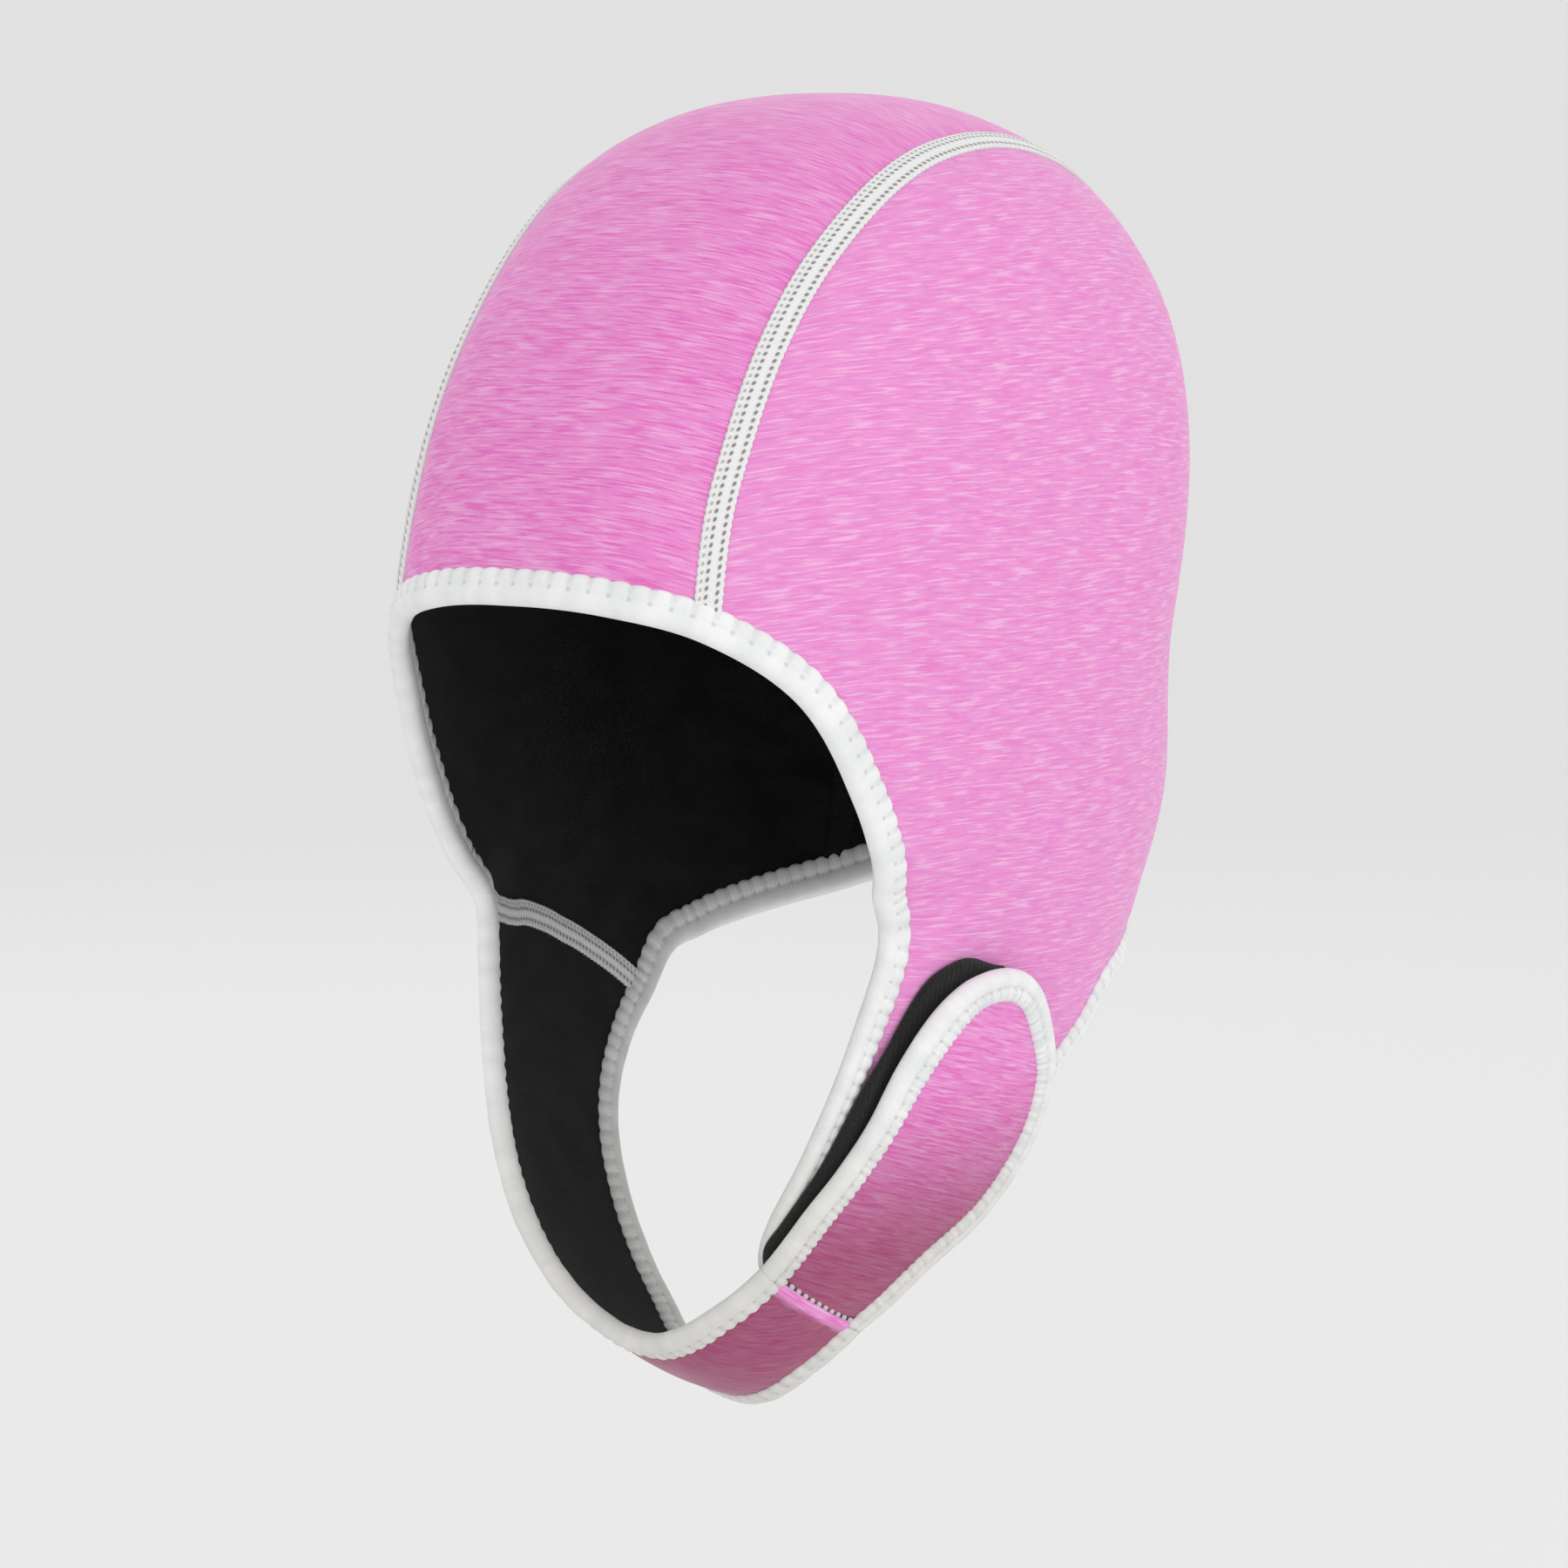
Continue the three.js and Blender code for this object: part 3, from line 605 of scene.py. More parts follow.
def settle(piece, node, flat=None, area=None):
    """Hides a piece's solid and hangs the piece from the root in its place. A flat size and an area are
    read but lead to nothing.
    """
    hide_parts(node)
    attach(piece, "root")
    if flat:
        width, length = flat
        area = area and min(area, width * length)


def spots_of(line):
    return np.stack([line.x, line.y], -1).reshape(-1, 2)


def flat_box(flat_map, edge):
    """Width and length of a flat piece in metres, from its edge."""
    uv = flat_map(spots_of(edge))
    return tuple((uv.max(0) - uv.min(0)) * MM)


def ringed(edge, centre, rings):
    """Rings of spots that shrink from an edge to a centre, and the spot in their middle."""
    ring = np.asarray(rings)[:, None]
    x = centre[0] + (edge.x - centre[0]) * ring
    y = centre[1] + (edge.y - centre[1]) * ring
    ear, held = edge.ear[0], edge.held[0]
    return Line(ear, x, y, None, held), Line(ear, centre[:1], centre[1:], None, held)


def ringed_body(name, layers, flat_map, materials):
    """A closed body of an outer and an inner layer, joined at their last rings. Each is
    given as its middle spot and its rings, with their heights. Returns the piece and the
    area of its outer face in square metres."""
    points, spots, faces, slots, rims = [], [], [], [], []
    base = 0
    for slot, (middle, middle_height, rings, height) in enumerate(layers):
        points += [middle.points(middle_height), rings.points(height).reshape(-1, 3)]
        spots += [spots_of(middle), spots_of(rings)]
        count = rings.x.shape[1]
        around = np.arange(count)
        after = (around + 1) % count
        starts = base + 1 + count * np.arange(len(rings))
        first = starts[0]
        faces += np.stack([np.full(count, base), first + around, first + after], -1).tolist()
        for low, high in zip(starts, starts[1:]):
            faces += quads(low + around, high + around, high + after, low + after)
        slots += [slot] * (len(faces) - len(slots))
        rims.append(starts[-1])
        base = starts[-1] + count
    faces += quads(rims[0] + around, rims[1] + around, rims[1] + after, rims[0] + after)
    slots = np.minimum(slots + [1] * count, len(materials) - 1)
    uv = flat_map(np.concatenate(spots))
    piece = make_piece(name, np.concatenate(points), faces, uv, slots, materials)
    return piece, outer_area(piece)


def ringed_sheet(name, edge, centre, rings, relief, flat_map, materials):
    """A closed sheet in rings, every third of which is kept on its inner face."""
    layer, middle = ringed(edge, centre, rings)
    kept = layer[np.arange(len(rings) - 1, -1, -3)[::-1]]
    under = -cloth_thickness()
    outer = (middle, relief(middle.points()), layer, relief(layer.points()))
    return ringed_body(name, [outer, (middle, under, kept, under)], flat_map, materials)


def gridded_sheet(name, layer, relief, uv, materials):
    """A closed sheet given as rows of spots. Returns the piece and the area of its outer
    face in square metres."""
    rows, across = layer.x.shape
    outer = layer.points(relief)
    inner = layer.points(-cloth_thickness())
    points = np.concatenate([outer.reshape(-1, 3), inner.reshape(-1, 3)])
    index = np.arange(rows * across).reshape(rows, across)
    under = index + rows * across
    faces = quads(index[:-1, :-1], index[:-1, 1:], index[1:, 1:], index[1:, :-1])
    slots = [0] * len(faces)
    inside = quads(under[1:, :-1], under[1:, 1:], under[:-1, 1:], under[:-1, :-1])
    for line in (0, -1):
        inside += quads(index[line, 1:], index[line, :-1], under[line, :-1], under[line, 1:])
        inside += quads(index[1:, line], index[:-1, line], under[:-1, line], under[1:, line])
    slots += [1] * len(inside)
    both = np.concatenate([uv.reshape(-1, 2)] * 2)
    piece = make_piece(name, points, faces + inside, both, slots, materials)
    return piece, outer_area(piece)


def outer_area(piece):
    return sum(face.area for face in piece.data.polygons if face.material_index == 0)


def swept(name, line, section, stitched, uv_across, slot_of, materials):
    """A closed trim. The section holds, for each spot of the line, the distances into the
    cloth and the heights of the points of one closed ring."""
    distance, height = section
    stations, ring = distance.shape
    points = np.empty((stations, ring, 3))
    for j in range(ring):
        points[:, j] = line.walked(line.inward, distance[:, j]).points(height[:, j])
    index = np.arange(stations * ring).reshape(stations, ring)
    after = np.roll(index, -1, axis=1)
    faces = quads(index[:-1], after[:-1], after[1:], index[1:])
    slots = np.tile(slot_of, stations - 1).tolist()
    faces += [index[0][::-1].tolist(), index[-1].tolist()]
    slots += [0, 0]
    uv = np.stack(np.broadcast_arrays(stitched[:, None], uv_across), -1).reshape(-1, 2)
    return make_piece(name, points.reshape(-1, 3), faces, uv, slots, materials)


# Materials
# Needle holes of the flat seams, dark with painted shade: length in widths, slant, and the share that is
# quite dark
HOLE_LENGTH = 1.3
HOLE_SLANT = 0.45
HOLE_CORE = 0.35
# Streaks and patches of the heathered cloth: length and width in millimetres, seed, detail
WANDER = (60, 30, 3.1, 1.0)
LONG_STREAK = (9.0, 0.62, 0.0, 1.5)
SHORT_STREAK = (4.5, 0.5, 7.7, 1.5)
PALE_STREAK = (8.0, 0.58, 52.0, 1.5)
BROAD_PATCH = (26, 7.0, 12.4, 2.0)
LILAC_PATCH = (5, 1.3, 31.0, 2.0)
# Fibres of cloth and tape: the same, and how rough they are
CLOTH_FUZZ = (0.5, 0.35, 1.0, 3.0, 0.7)
LINING_FUZZ = (0.6, 0.4, 4.0, 3.0, 0.7)
TAPE_FUZZ = (0.4, 0.05, 6.0, 3.0, 0.6)
PAD_LOOPS = (0.45, 0.45, 0.0, 3.0, 0.7)
# Place of the needle marks across a binding, in shares of its depth, and the depth that
# the marks are round at
MARK_SHARE = 0.54
MARK_DEPTH = 7.5


class Shader:
    """A material whose pattern is worked out from the piece's own map."""

    def __init__(self, name, rough, sheen=0.0, sheen_rough=0.5, specular=0.5):
        self.material = bpy.data.materials.new(name)
        self.material.use_nodes = True
        self.tree = self.material.node_tree
        self.surface = self.tree.nodes["Principled BSDF"]
        self.surface.inputs["Roughness"].default_value = rough
        self.surface.inputs["Sheen Weight"].default_value = sheen
        self.surface.inputs["Sheen Roughness"].default_value = sheen_rough
        self.surface.inputs["Specular IOR Level"].default_value = specular
        place = self.tree.nodes.new("ShaderNodeUVMap")
        place.uv_map = "cloth_map"
        self.along = self.reading(place.outputs["UV"], "X")
        self.across = self.reading(place.outputs["UV"], "Y")

    def reading(self, place, axis):
        """Where a place is along one axis, in millimetres."""
        split = self.tree.nodes.new("ShaderNodeSeparateXYZ")
        self.tree.links.new(place, split.inputs["Vector"])
        return self.math("DIVIDE", split.outputs[axis], MM)

    def set(self, socket, value):
        if isinstance(value, bpy.types.NodeSocket):
            self.tree.links.new(value, socket)
        else:
            socket.default_value = value

    def math(self, operation, first, second=0.0, third=0.0):
        node = self.tree.nodes.new("ShaderNodeMath")
        node.operation = operation
        for socket, value in zip(node.inputs, (first, second, third)):
            self.set(socket, value)
        return node.outputs["Value"]

    def times(self, first, second):
        return self.math("MULTIPLY", first, second)

    def wave(self, value, length):
        return self.math("SINE", self.times(value, 2 * math.pi / length))

    def knit(self, along, across, length, width):
        """Small bumps in rows, from -1 to 1, each of a length and a width in millimetres."""
        return self.times(self.wave(across, width), self.wave(along, length))

    def step(self, value, low, high, to_low=0.0, to_high=1.0):
        node = self.tree.nodes.new("ShaderNodeMapRange")
        node.interpolation_type = "SMOOTHSTEP"
        self.set(node.inputs["Value"], value)
        ends = {"From Min": low, "From Max": high, "To Min": to_low, "To Max": to_high}
        for name, number in ends.items():
            node.inputs[name].default_value = number
        return node.outputs["Result"]

    def noise(self, along, across, length, width, seed=0.0, detail=2.0, rough=0.5):
        """Noise drawn out to streaks of about a length and a width, in millimetres."""
        place = self.tree.nodes.new("ShaderNodeCombineXYZ")
        self.set(place.inputs["X"], self.math("DIVIDE", along, length))
        self.set(place.inputs["Y"], self.math("DIVIDE", across, width))
        self.set(place.inputs["Z"], seed)
        node = self.tree.nodes.new("ShaderNodeTexNoise")
        node.inputs["Scale"].default_value = 1.0
        node.inputs["Detail"].default_value = detail
        node.inputs["Roughness"].default_value = rough
        self.tree.links.new(place.outputs["Vector"], node.inputs["Vector"])
        return node.outputs["Fac"]

    def mix(self, share, first, second, how="MIX"):
        node = self.tree.nodes.new("ShaderNodeMix")
        node.data_type = "RGBA"
        node.blend_type = how
        self.set(node.inputs["Factor"], share)
        for name, value in (("A", first), ("B", second)):
            is_socket = isinstance(value, bpy.types.NodeSocket)
            self.set(node.inputs[name], value if is_socket else (*value, 1.0))
        return node.outputs["Result"]

    def object_height(self):
        """The height in the shared frame, in millimetres."""
        place = self.tree.nodes.new("ShaderNodeTexCoord")
        return self.reading(place.outputs["Object"], "Z")

    def dots(self, pitch, across, shift, radius):
        """1 at the middle of each stitch of a slanting row and 0 beyond a radius, in
        millimetres. The row is shifted by a share of its pitch."""
        cell = self.math("FRACT", self.math("ADD", self.math("DIVIDE", self.along, pitch), shift))
        off = self.math("SUBTRACT", self.across, across)
        along = self.times(self.math("SUBTRACT", cell, 0.5), pitch / HOLE_LENGTH)
        along = self.math("MULTIPLY_ADD", off, HOLE_SLANT, along)
        return self.step(self.distance(along, off), radius, radius * HOLE_CORE)

    def distance(self, along, across):
        squares = self.math("POWER", along, 2), self.math("POWER", across, 2)
        return self.math("SQRT", self.math("ADD", *squares))

    def finish(self, colour, height=None, depth=1.0, strength=1.0):
        self.tree.links.new(colour, self.surface.inputs["Base Color"])
        if height is not None:
            node = self.tree.nodes.new("ShaderNodeBump")
            node.inputs["Strength"].default_value = strength
            node.inputs["Distance"].default_value = depth * MM
            self.tree.links.new(height, node.inputs["Height"])
            self.tree.links.new(node.outputs["Normal"], self.surface.inputs["Normal"])
        return self.material


def once(build):
    """The material that a function makes under its own name, made the first time only."""
    name = build.__name__
    return bpy.data.materials.get(name) or build(name)


def heather_cloth(name, folded=False, light=0.72, deep=0.36, pale=0.72, lilac=0.72):
    """Knitted face of the foam cloth: pale and deep streaks that run with the knit, and the
    share that each tone has. The default shares give the lighter copy of the cloth, painted
    light. It is darkened by painted shade low down under the chin, and across a fold."""
    tone = colours()
    shader = Shader(name, rough=0.82, sheen=0.3, sheen_rough=0.4, specular=0.25)
    u, v = shader.along, shader.across
    level = shader.math("MULTIPLY_ADD", shader.noise(u, v, *WANDER), 4.0, v)
    long_streak = shader.noise(u, level, *LONG_STREAK)
    short_streak = shader.noise(u, level, *SHORT_STREAK)
    broad = shader.noise(u, level, *BROAD_PATCH)
    cool = shader.noise(u, level, *LILAC_PATCH)
    pale_streak = shader.noise(u, level, *PALE_STREAK)
    base = shader.mix(shader.step(broad, 0.86 - light, 1.14 - light), tone.cloth, tone.cloth_light)
    layers = (
        (shader.step(cool, 0.46, 0.64), lilac, tone.cloth_lilac),
        (shader.step(long_streak, 0.54, 0.38), deep, tone.cloth_deep),
        (shader.step(pale_streak, 0.5, 0.68), pale, tone.cloth_pale),
        (shader.step(short_streak, 0.56, 0.72), 0.3, tone.cloth_pale),
    )
    for place, share, colour in layers:
        base = shader.mix(shader.times(place, share), base, colour)
    knit = shader.math("MULTIPLY_ADD", shader.knit(u, v, 0.78, 0.62), 0.25, 0.5)
    fuzz = shader.noise(u, v, *CLOTH_FUZZ)
    height = shader.math("ADD", shader.times(knit, 0.35), shader.times(fuzz, 0.5))
    height = shader.math("MULTIPLY_ADD", long_streak, 0.3, height)
    base = shader.mix(shader.step(fuzz, 0.7, 0.3, 0.0, 0.22), base, tone.cloth_deep)
    # Painted shade: a folded piece is darkened across the fold towards the strap, any other piece low down,
    # for the shade under the chin
    if folded:
        shade = shader.step(shader.across, *FOLD_FADE)
    else:
        shade = shader.step(shader.object_height(), *SHADED_HEIGHTS)
    base = shader.mix(shade, base, tone.cloth_shade, "MULTIPLY")
    return shader.finish(base, height, depth=0.16, strength=0.7)


def deep_cloth(name):
    """The same cloth with more deep streaks and fewer light, pale and lilac ones: the darker copy, painted
    shade, for the centre panel, strap and tab.
    """
    return heather_cloth(name, light=0.5, deep=0.74, pale=0.56, lilac=0.5)


def fold_cloth(name):
    """The same cloth where it is folded over: a lit copy without the painted shade by height, for the
    highlight on the fold, darkened towards the strap by painted shade.
    """
    return heather_cloth(name, folded=True, deep=0.6)


def lining_cloth(name):
    """Black knitted inner face."""
    tone = colours()
    shader = Shader(name, rough=0.9, sheen=0.05, sheen_rough=0.5, specular=0.2)
    u, v = shader.along, shader.across
    tint = shader.noise(u, v, 14, 9, 2.0, 3.0)
    base = shader.mix(shader.step(tint, 0.3, 0.7), tone.lining, tone.lining_light)
    fuzz = shader.noise(u, v, *LINING_FUZZ)
    height = shader.math("MULTIPLY_ADD", shader.knit(u, v, 0.9, 0.7), 0.3, fuzz)
    return shader.finish(base, height, depth=0.18, strength=0.8)


def binding_tape(name):
    """White knitted tape, folded over the edge, with a row of needle marks by its stitching.
    Painted shade darkens the marks, the hollows between its scallops, the ribs of its inner
    half and the tape low down. Its map holds shares of its depth across it."""
    tone = colours()
    shader = Shader(name, rough=0.72, sheen=0.15, sheen_rough=0.4, specular=0.3)
    u = shader.along
    v = shader.math("ABSOLUTE", shader.across)
    shade = shader.noise(u, shader.across, 7, 2.5, 0.0, 3.0)
    base = shader.mix(shader.step(shade, 0.3, 0.75), tone.trim_shade, tone.trim)
    pitch = sizes().binding_pitch / MM
    # Painted shade in the needle marks and in the hollows between the scallops
    cell = shader.math("FRACT", shader.math("ADD", shader.math("DIVIDE", u, pitch), 0.5))
    off_along = shader.times(shader.math("SUBTRACT", cell, 0.5), pitch)
    off_across = shader.times(shader.math("SUBTRACT", v, MARK_SHARE), MARK_DEPTH)
    mark = shader.step(shader.distance(off_along, off_across), 0.8, 0.15)
    base = shader.mix(shader.times(mark, 0.42), base, tone.thread_shade)
    between = shader.step(shader.math("ABSOLUTE", off_along), 1.2, 0.2)
    hollow = shader.times(between, shader.step(v, 0.58, 0.74))
    base = shader.mix(shader.times(hollow, 0.2), base, tone.thread_shade)
    # Painted shade: the tape is darkened low down, for the shade under the chin
    low = shader.times(shader.step(shader.object_height(), *SHADED_HEIGHTS), 0.4)
    base = shader.mix(low, base, tone.trim_low, "MULTIPLY")
    # Painted shade between the ribs of the tape's inner half
    inside = shader.step(shader.across, -0.3, -0.5)
    loops = shader.times(inside, shader.step(shader.wave(u, 1.45), 0.2, 1.0))
    base = shader.mix(shader.times(loops, 0.14), base, tone.thread_shade)
    fuzz = shader.noise(u, v, *TAPE_FUZZ)
    height = shader.math("MULTIPLY_ADD", shader.knit(u, v, 0.55, 0.075), 0.3, fuzz)
    return shader.finish(base, height, depth=0.12, strength=0.6)


def slanting_threads(shader, fibre_length, rough=0.5):
    """The ridges of threads that slant across a flat seam, and their fibres."""
    slant = shader.math("MULTIPLY_ADD", shader.across, 0.55, shader.along)
    ridge = shader.wave(slant, sizes().seam_pitch / MM / 2)
    return ridge, shader.noise(slant, shader.across, fibre_length, 0.6, 0.0, 3.0, rough)


def seam_threads(name):
    """Off-white threads of a flat seam, with its three rows of needle holes, dark with painted shade, and
    painted shadow along its edges.
    """
    tone = colours()
    pitch = sizes().seam_pitch / MM
    shader = Shader(name, rough=0.7, sheen=0.1, specular=0.3)
    ridge, fibre = slanting_threads(shader, 0.25, rough=0.6)
    base = shader.mix(shader.step(fibre, 0.3, 0.7), tone.trim_shade, tone.seam)
    # Painted shade in the needle holes
    dark = shader.math("MAXIMUM", shader.dots(pitch, 0.8, 0.0, 0.56), shader.dots(pitch, -1.6, 0.35, 0.6))
    faint = shader.times(shader.dots(pitch, 2.05, 0.25, 0.48), 0.6)
    holes = shader.math("MAXIMUM", dark, faint)
    base = shader.mix(shader.times(holes, 0.82), base, tone.hole)
    # Painted shadow along the seam's edges
    edge = shader.step(shader.math("ABSOLUTE", shader.across), 2.9, 3.25)
    base = shader.mix(shader.times(edge, 0.35), base, tone.thread_shade)
    height = shader.math("MULTIPLY_ADD", ridge, 0.25, shader.times(fibre, 0.4))
    height = shader.math("SUBTRACT", height, holes)
    return shader.finish(base, height, depth=0.22, strength=0.8)


def lining_threads(name):
    """The inner side of the crown seams, sewn with black thread."""
    tone = colours()
    shader = Shader(name, rough=0.8, specular=0.25)
    ridge, fibre = slanting_threads(shader, 0.3)
    base = shader.mix(shader.step(fibre, 0.3, 0.7), tone.lining, tone.lining_light)
    height = shader.math("MULTIPLY_ADD", ridge, 0.4, fibre)
    return shader.finish(base, height, depth=0.2, strength=0.8)


def pad_tape(name):
    """Black hook-and-loop tape with a ribbed, overcast edge."""
    tone = colours()
    shader = Shader(name, rough=0.88, sheen=0.12, specular=0.3)
    loops = shader.noise(shader.along, shader.across, *PAD_LOOPS)
    base = shader.mix(shader.step(loops, 0.35, 0.7), tone.pad, tone.pad_light)
    height = shader.math("MULTIPLY_ADD", shader.wave(shader.along, PAD_RIB_PITCH), 0.15, loops)
    return shader.finish(base, height, depth=0.35, strength=0.9)


def needle_hole(name):
    """The hole a needle leaves between two stitches, dark with painted shade."""
    tone = colours()
    shader = Shader(name, rough=0.9, specular=0.2)
    fibre = shader.noise(shader.along, shader.across, 1 / 3, 1 / 3)
    return shader.finish(shader.mix(fibre, tone.hole, tone.lining_light))


def joint_thread(name):
    """Pale grey thread of the sewn joint."""
    tone = colours()
    shader = Shader(name, rough=0.6, specular=0.35)
    twist = shader.noise(shader.along, shader.across, 0.3, 0.3)
    # Painted shade in the hollows of the twist
    base = shader.mix(shader.step(twist, 0.3, 0.7), tone.thread_shade, tone.trim)
    return shader.finish(base, twist, depth=0.1)


# Lines that several pieces share
def crown_line(ear, step):
    return route(ear, CROWN_SEAM, ["brow", "nape"], step)


def strap_seam_line(step):
    return route(RIGHT, STRAP_SEAM, ["front", "back"], step)


def joint_line(step):
    return route(LEFT, JOINT, ["back", "front"], step)


def strap_carried(line):
    """A line of the right side, carried as the strap is from where the strap starts."""
    return line.carried(np.where(line.y < STRAP_TOP, ON_STRAP, ON_HEAD))


def left_halves(step):
    """The left edge in two parts, which meet under the strap."""
    stops = ["brow", "brow seam", "under strap", "nape seam", "nape"]
    whole = route(LEFT, LEFT_EDGE, stops, step)
    meeting = next(spot for spot in LEFT_EDGE if spot.place == "under strap")
    away = np.hypot(whole.x - chart(meeting)[0], whole.y - chart(meeting)[1])
    middle = int(np.argmin(away))
    return whole[:middle + 1], whole[middle:]


def joint_ways():
    """The ways along the sewn joint from its front end and from its back end."""
    points = joint_line(1.0).points()
    return unit(points[-4] - points[-1]), unit(points[3] - points[0])


def face_line(step):
    """The edge from the joint along the strap, round the face and down to the left flap."""
    front = route(RIGHT, RIGHT_FRONT, ["brow", "joint"], step, -1)[::-1]
    whole = joined(strap_carried(front), left_halves(step)[0])
    return whole.squared(start=joint_ways()[0])


def nape_line(step):
    """The edge from the left flap round the nape and along the strap to the joint."""
    back = route(RIGHT, RIGHT_BACK, ["nape", "joint"], step)
    whole = joined(left_halves(step)[1], strap_carried(back))
    return whole.squared(end=joint_ways()[1])


def tab_line(step):
    """The tab's edge from the joint's front end to its back end."""
    line = route(LEFT, TAB_EDGE, ["joint front", "joint back"], step, -1).carried(ON_TAB)
    return line.squared(*joint_ways())


def binding_reach(points):
    """How far the binding reaches over the cloth. It is narrower low down."""
    return sizes().binding_depth / MM * (1 - NARROWING * smooth(-points[..., 2], *NARROW_DEPTHS))


def nearest(points, line, pitch=1.0):
    """How far points are from a line, and the stitch that is nearest to each."""
    tree = KDTree(len(line))
    for index, spot in enumerate(line.points()):
        tree.insert(spot, index)
    tree.balance()
    found = [tree.find(point) for point in points.reshape(-1, 3)]
    away = np.array([item[2] for item in found]).reshape(points.shape[:-1])
    along = line.stitched(pitch)[[item[1] for item in found]].reshape(points.shape[:-1])
    return away, along


# Relief of sewn cloth in millimetres. A binding holds the cloth down, less so between its
# stitches, and a flat seam does too. Beside them the cloth swells: height, distance and
# width. The soft relief grows between two distances from them.
HELD_DOWN = 0.28
STITCH_RISE = 0.24
HELD_FADE = 3.0
BOUND_SWELL = (0.18, 5, 4.5)
SEAM_DIP = 0.2
SEAM_HALF_WIDTH = 3.0
SEAM_FADE = 2.0
SEAM_SWELL = (0.2, 7.5, 4)
SOFT_CLEAR = (4, 25)


def sewn_relief(points, bound, seams, pitch, reach):
    """Cloth that each stitch of a binding draws down, and that swells beside its seams."""
    height = 0
    clear = np.full(points.shape[:-1], np.inf)
    swell, place, width = BOUND_SWELL
    for line in bound:
        away, along = nearest(points, line, pitch)
        near = np.exp(-np.maximum(away - reach, 0) / HELD_FADE)
        height = height + near * (STITCH_RISE * scallop(along, pitch) - HELD_DOWN)
        height = height + swell * hump(away - reach, place, width)
        clear = np.minimum(clear, away)
    swell, place, width = SEAM_SWELL
    for line in seams:
        away = nearest(points, line)[0]
        height = height - SEAM_DIP * np.exp(-np.maximum(away - SEAM_HALF_WIDTH, 0) / SEAM_FADE)
        height = height + swell * hump(away, place, width)
        clear = np.minimum(clear, away)
    return height + soft_relief(points) * smooth(clear, *SOFT_CLEAR)


def cap_relief(points, seams):
    """Relief of the cap's own cloth, between its bindings and the given seams."""
    pitch = sizes().binding_pitch / MM
    bound = [face_line(RELIEF_STEP), nape_line(RELIEF_STEP)]
    return sewn_relief(points, bound, seams, pitch, binding_reach(points))


def ear_map(spots):
    """Millimetres along the cloth, flattened about the ear. The first axis runs back."""
    reach = np.hypot(spots[:, 0], spots[:, 1])
    angle = np.degrees(np.arctan2(spots[:, 1], -spots[:, 0]))
    angles = np.arange(0, 360, MAP_DEGREES)
    shares = np.linspace(0, 1.0, MAP_RINGS)
    turns, rings = np.meshgrid(np.radians(angles), shares, indexing="ij")
    points = form_point(LEFT, -rings * np.cos(turns), rings * np.sin(turns))
    length = lengths_along(points, axis=1)
    at = np.mod(angle, 360) / MAP_DEGREES
    low = np.floor(at).astype(int) % len(angles)
    high = (low + 1) % len(angles)
    part = at - np.floor(at)
    place = np.clip(reach, 0, 1) * (len(shares) - 1)
    near = np.minimum(place.astype(int), len(shares) - 2)
    share = place - near

    def read(row):
        return length[row, near] * (1 - share) + length[row, near + 1] * share
    away = read(low) * (1 - part) + read(high) * part
    turn = np.radians(angle)
    return np.stack([-away * np.cos(turn), away * np.sin(turn)], -1)


def panel_rings():
    """Rings that lie evenly on the rounded form, closer at the edge."""
    even = np.linspace(0, 1, 47)[1:]
    close = np.array([0.985, 0.992])
    return np.sort(np.concatenate([even, close])) ** (FULLNESS / 2)


def cloth_looks(outer):
    return [once(outer), once(lining_cloth)]


def side_panel(name, node, parts, centre, seams):
    edge = inset_loop(parts)

    def relief(points):
        return cap_relief(points, seams)
    # The side panels have the lighter copy of the cloth, painted light
    looks = cloth_looks(heather_cloth)
    piece, area = ringed_sheet(name, edge, centre, panel_rings(), relief, ear_map, looks)
    settle(piece, node, flat=flat_box(ear_map, edge), area=area)


def build_side_panels():
    step = 1.35
    gap = SEAM_GAP / 2
    bound = route(LEFT, LEFT_EDGE, ["brow seam", "nape seam"], step)
    crown = crown_line(LEFT, step)
    parts = [(bound, EDGE_INSET), (crown[::-1].flipped(), gap)]
    side_panel("side_panel_left_cloth", "side_panel_left", parts, (0.0, 0.0), [crown])

    back = route(RIGHT, RIGHT_BACK, ["nape seam", "strap seam back"], step)
    seam = strap_seam_line(step)
    front = route(RIGHT, RIGHT_FRONT, ["brow seam", "strap seam front"], step, -1)[::-1]
    crown = crown_line(RIGHT, step)
    parts = [(back, EDGE_INSET), (seam[::-1].flipped(), gap), (front, EDGE_INSET), (crown, gap)]
    side_panel("side_panel_right_cloth", "side_panel_right", parts, (0.0, 0.12), [crown, seam])


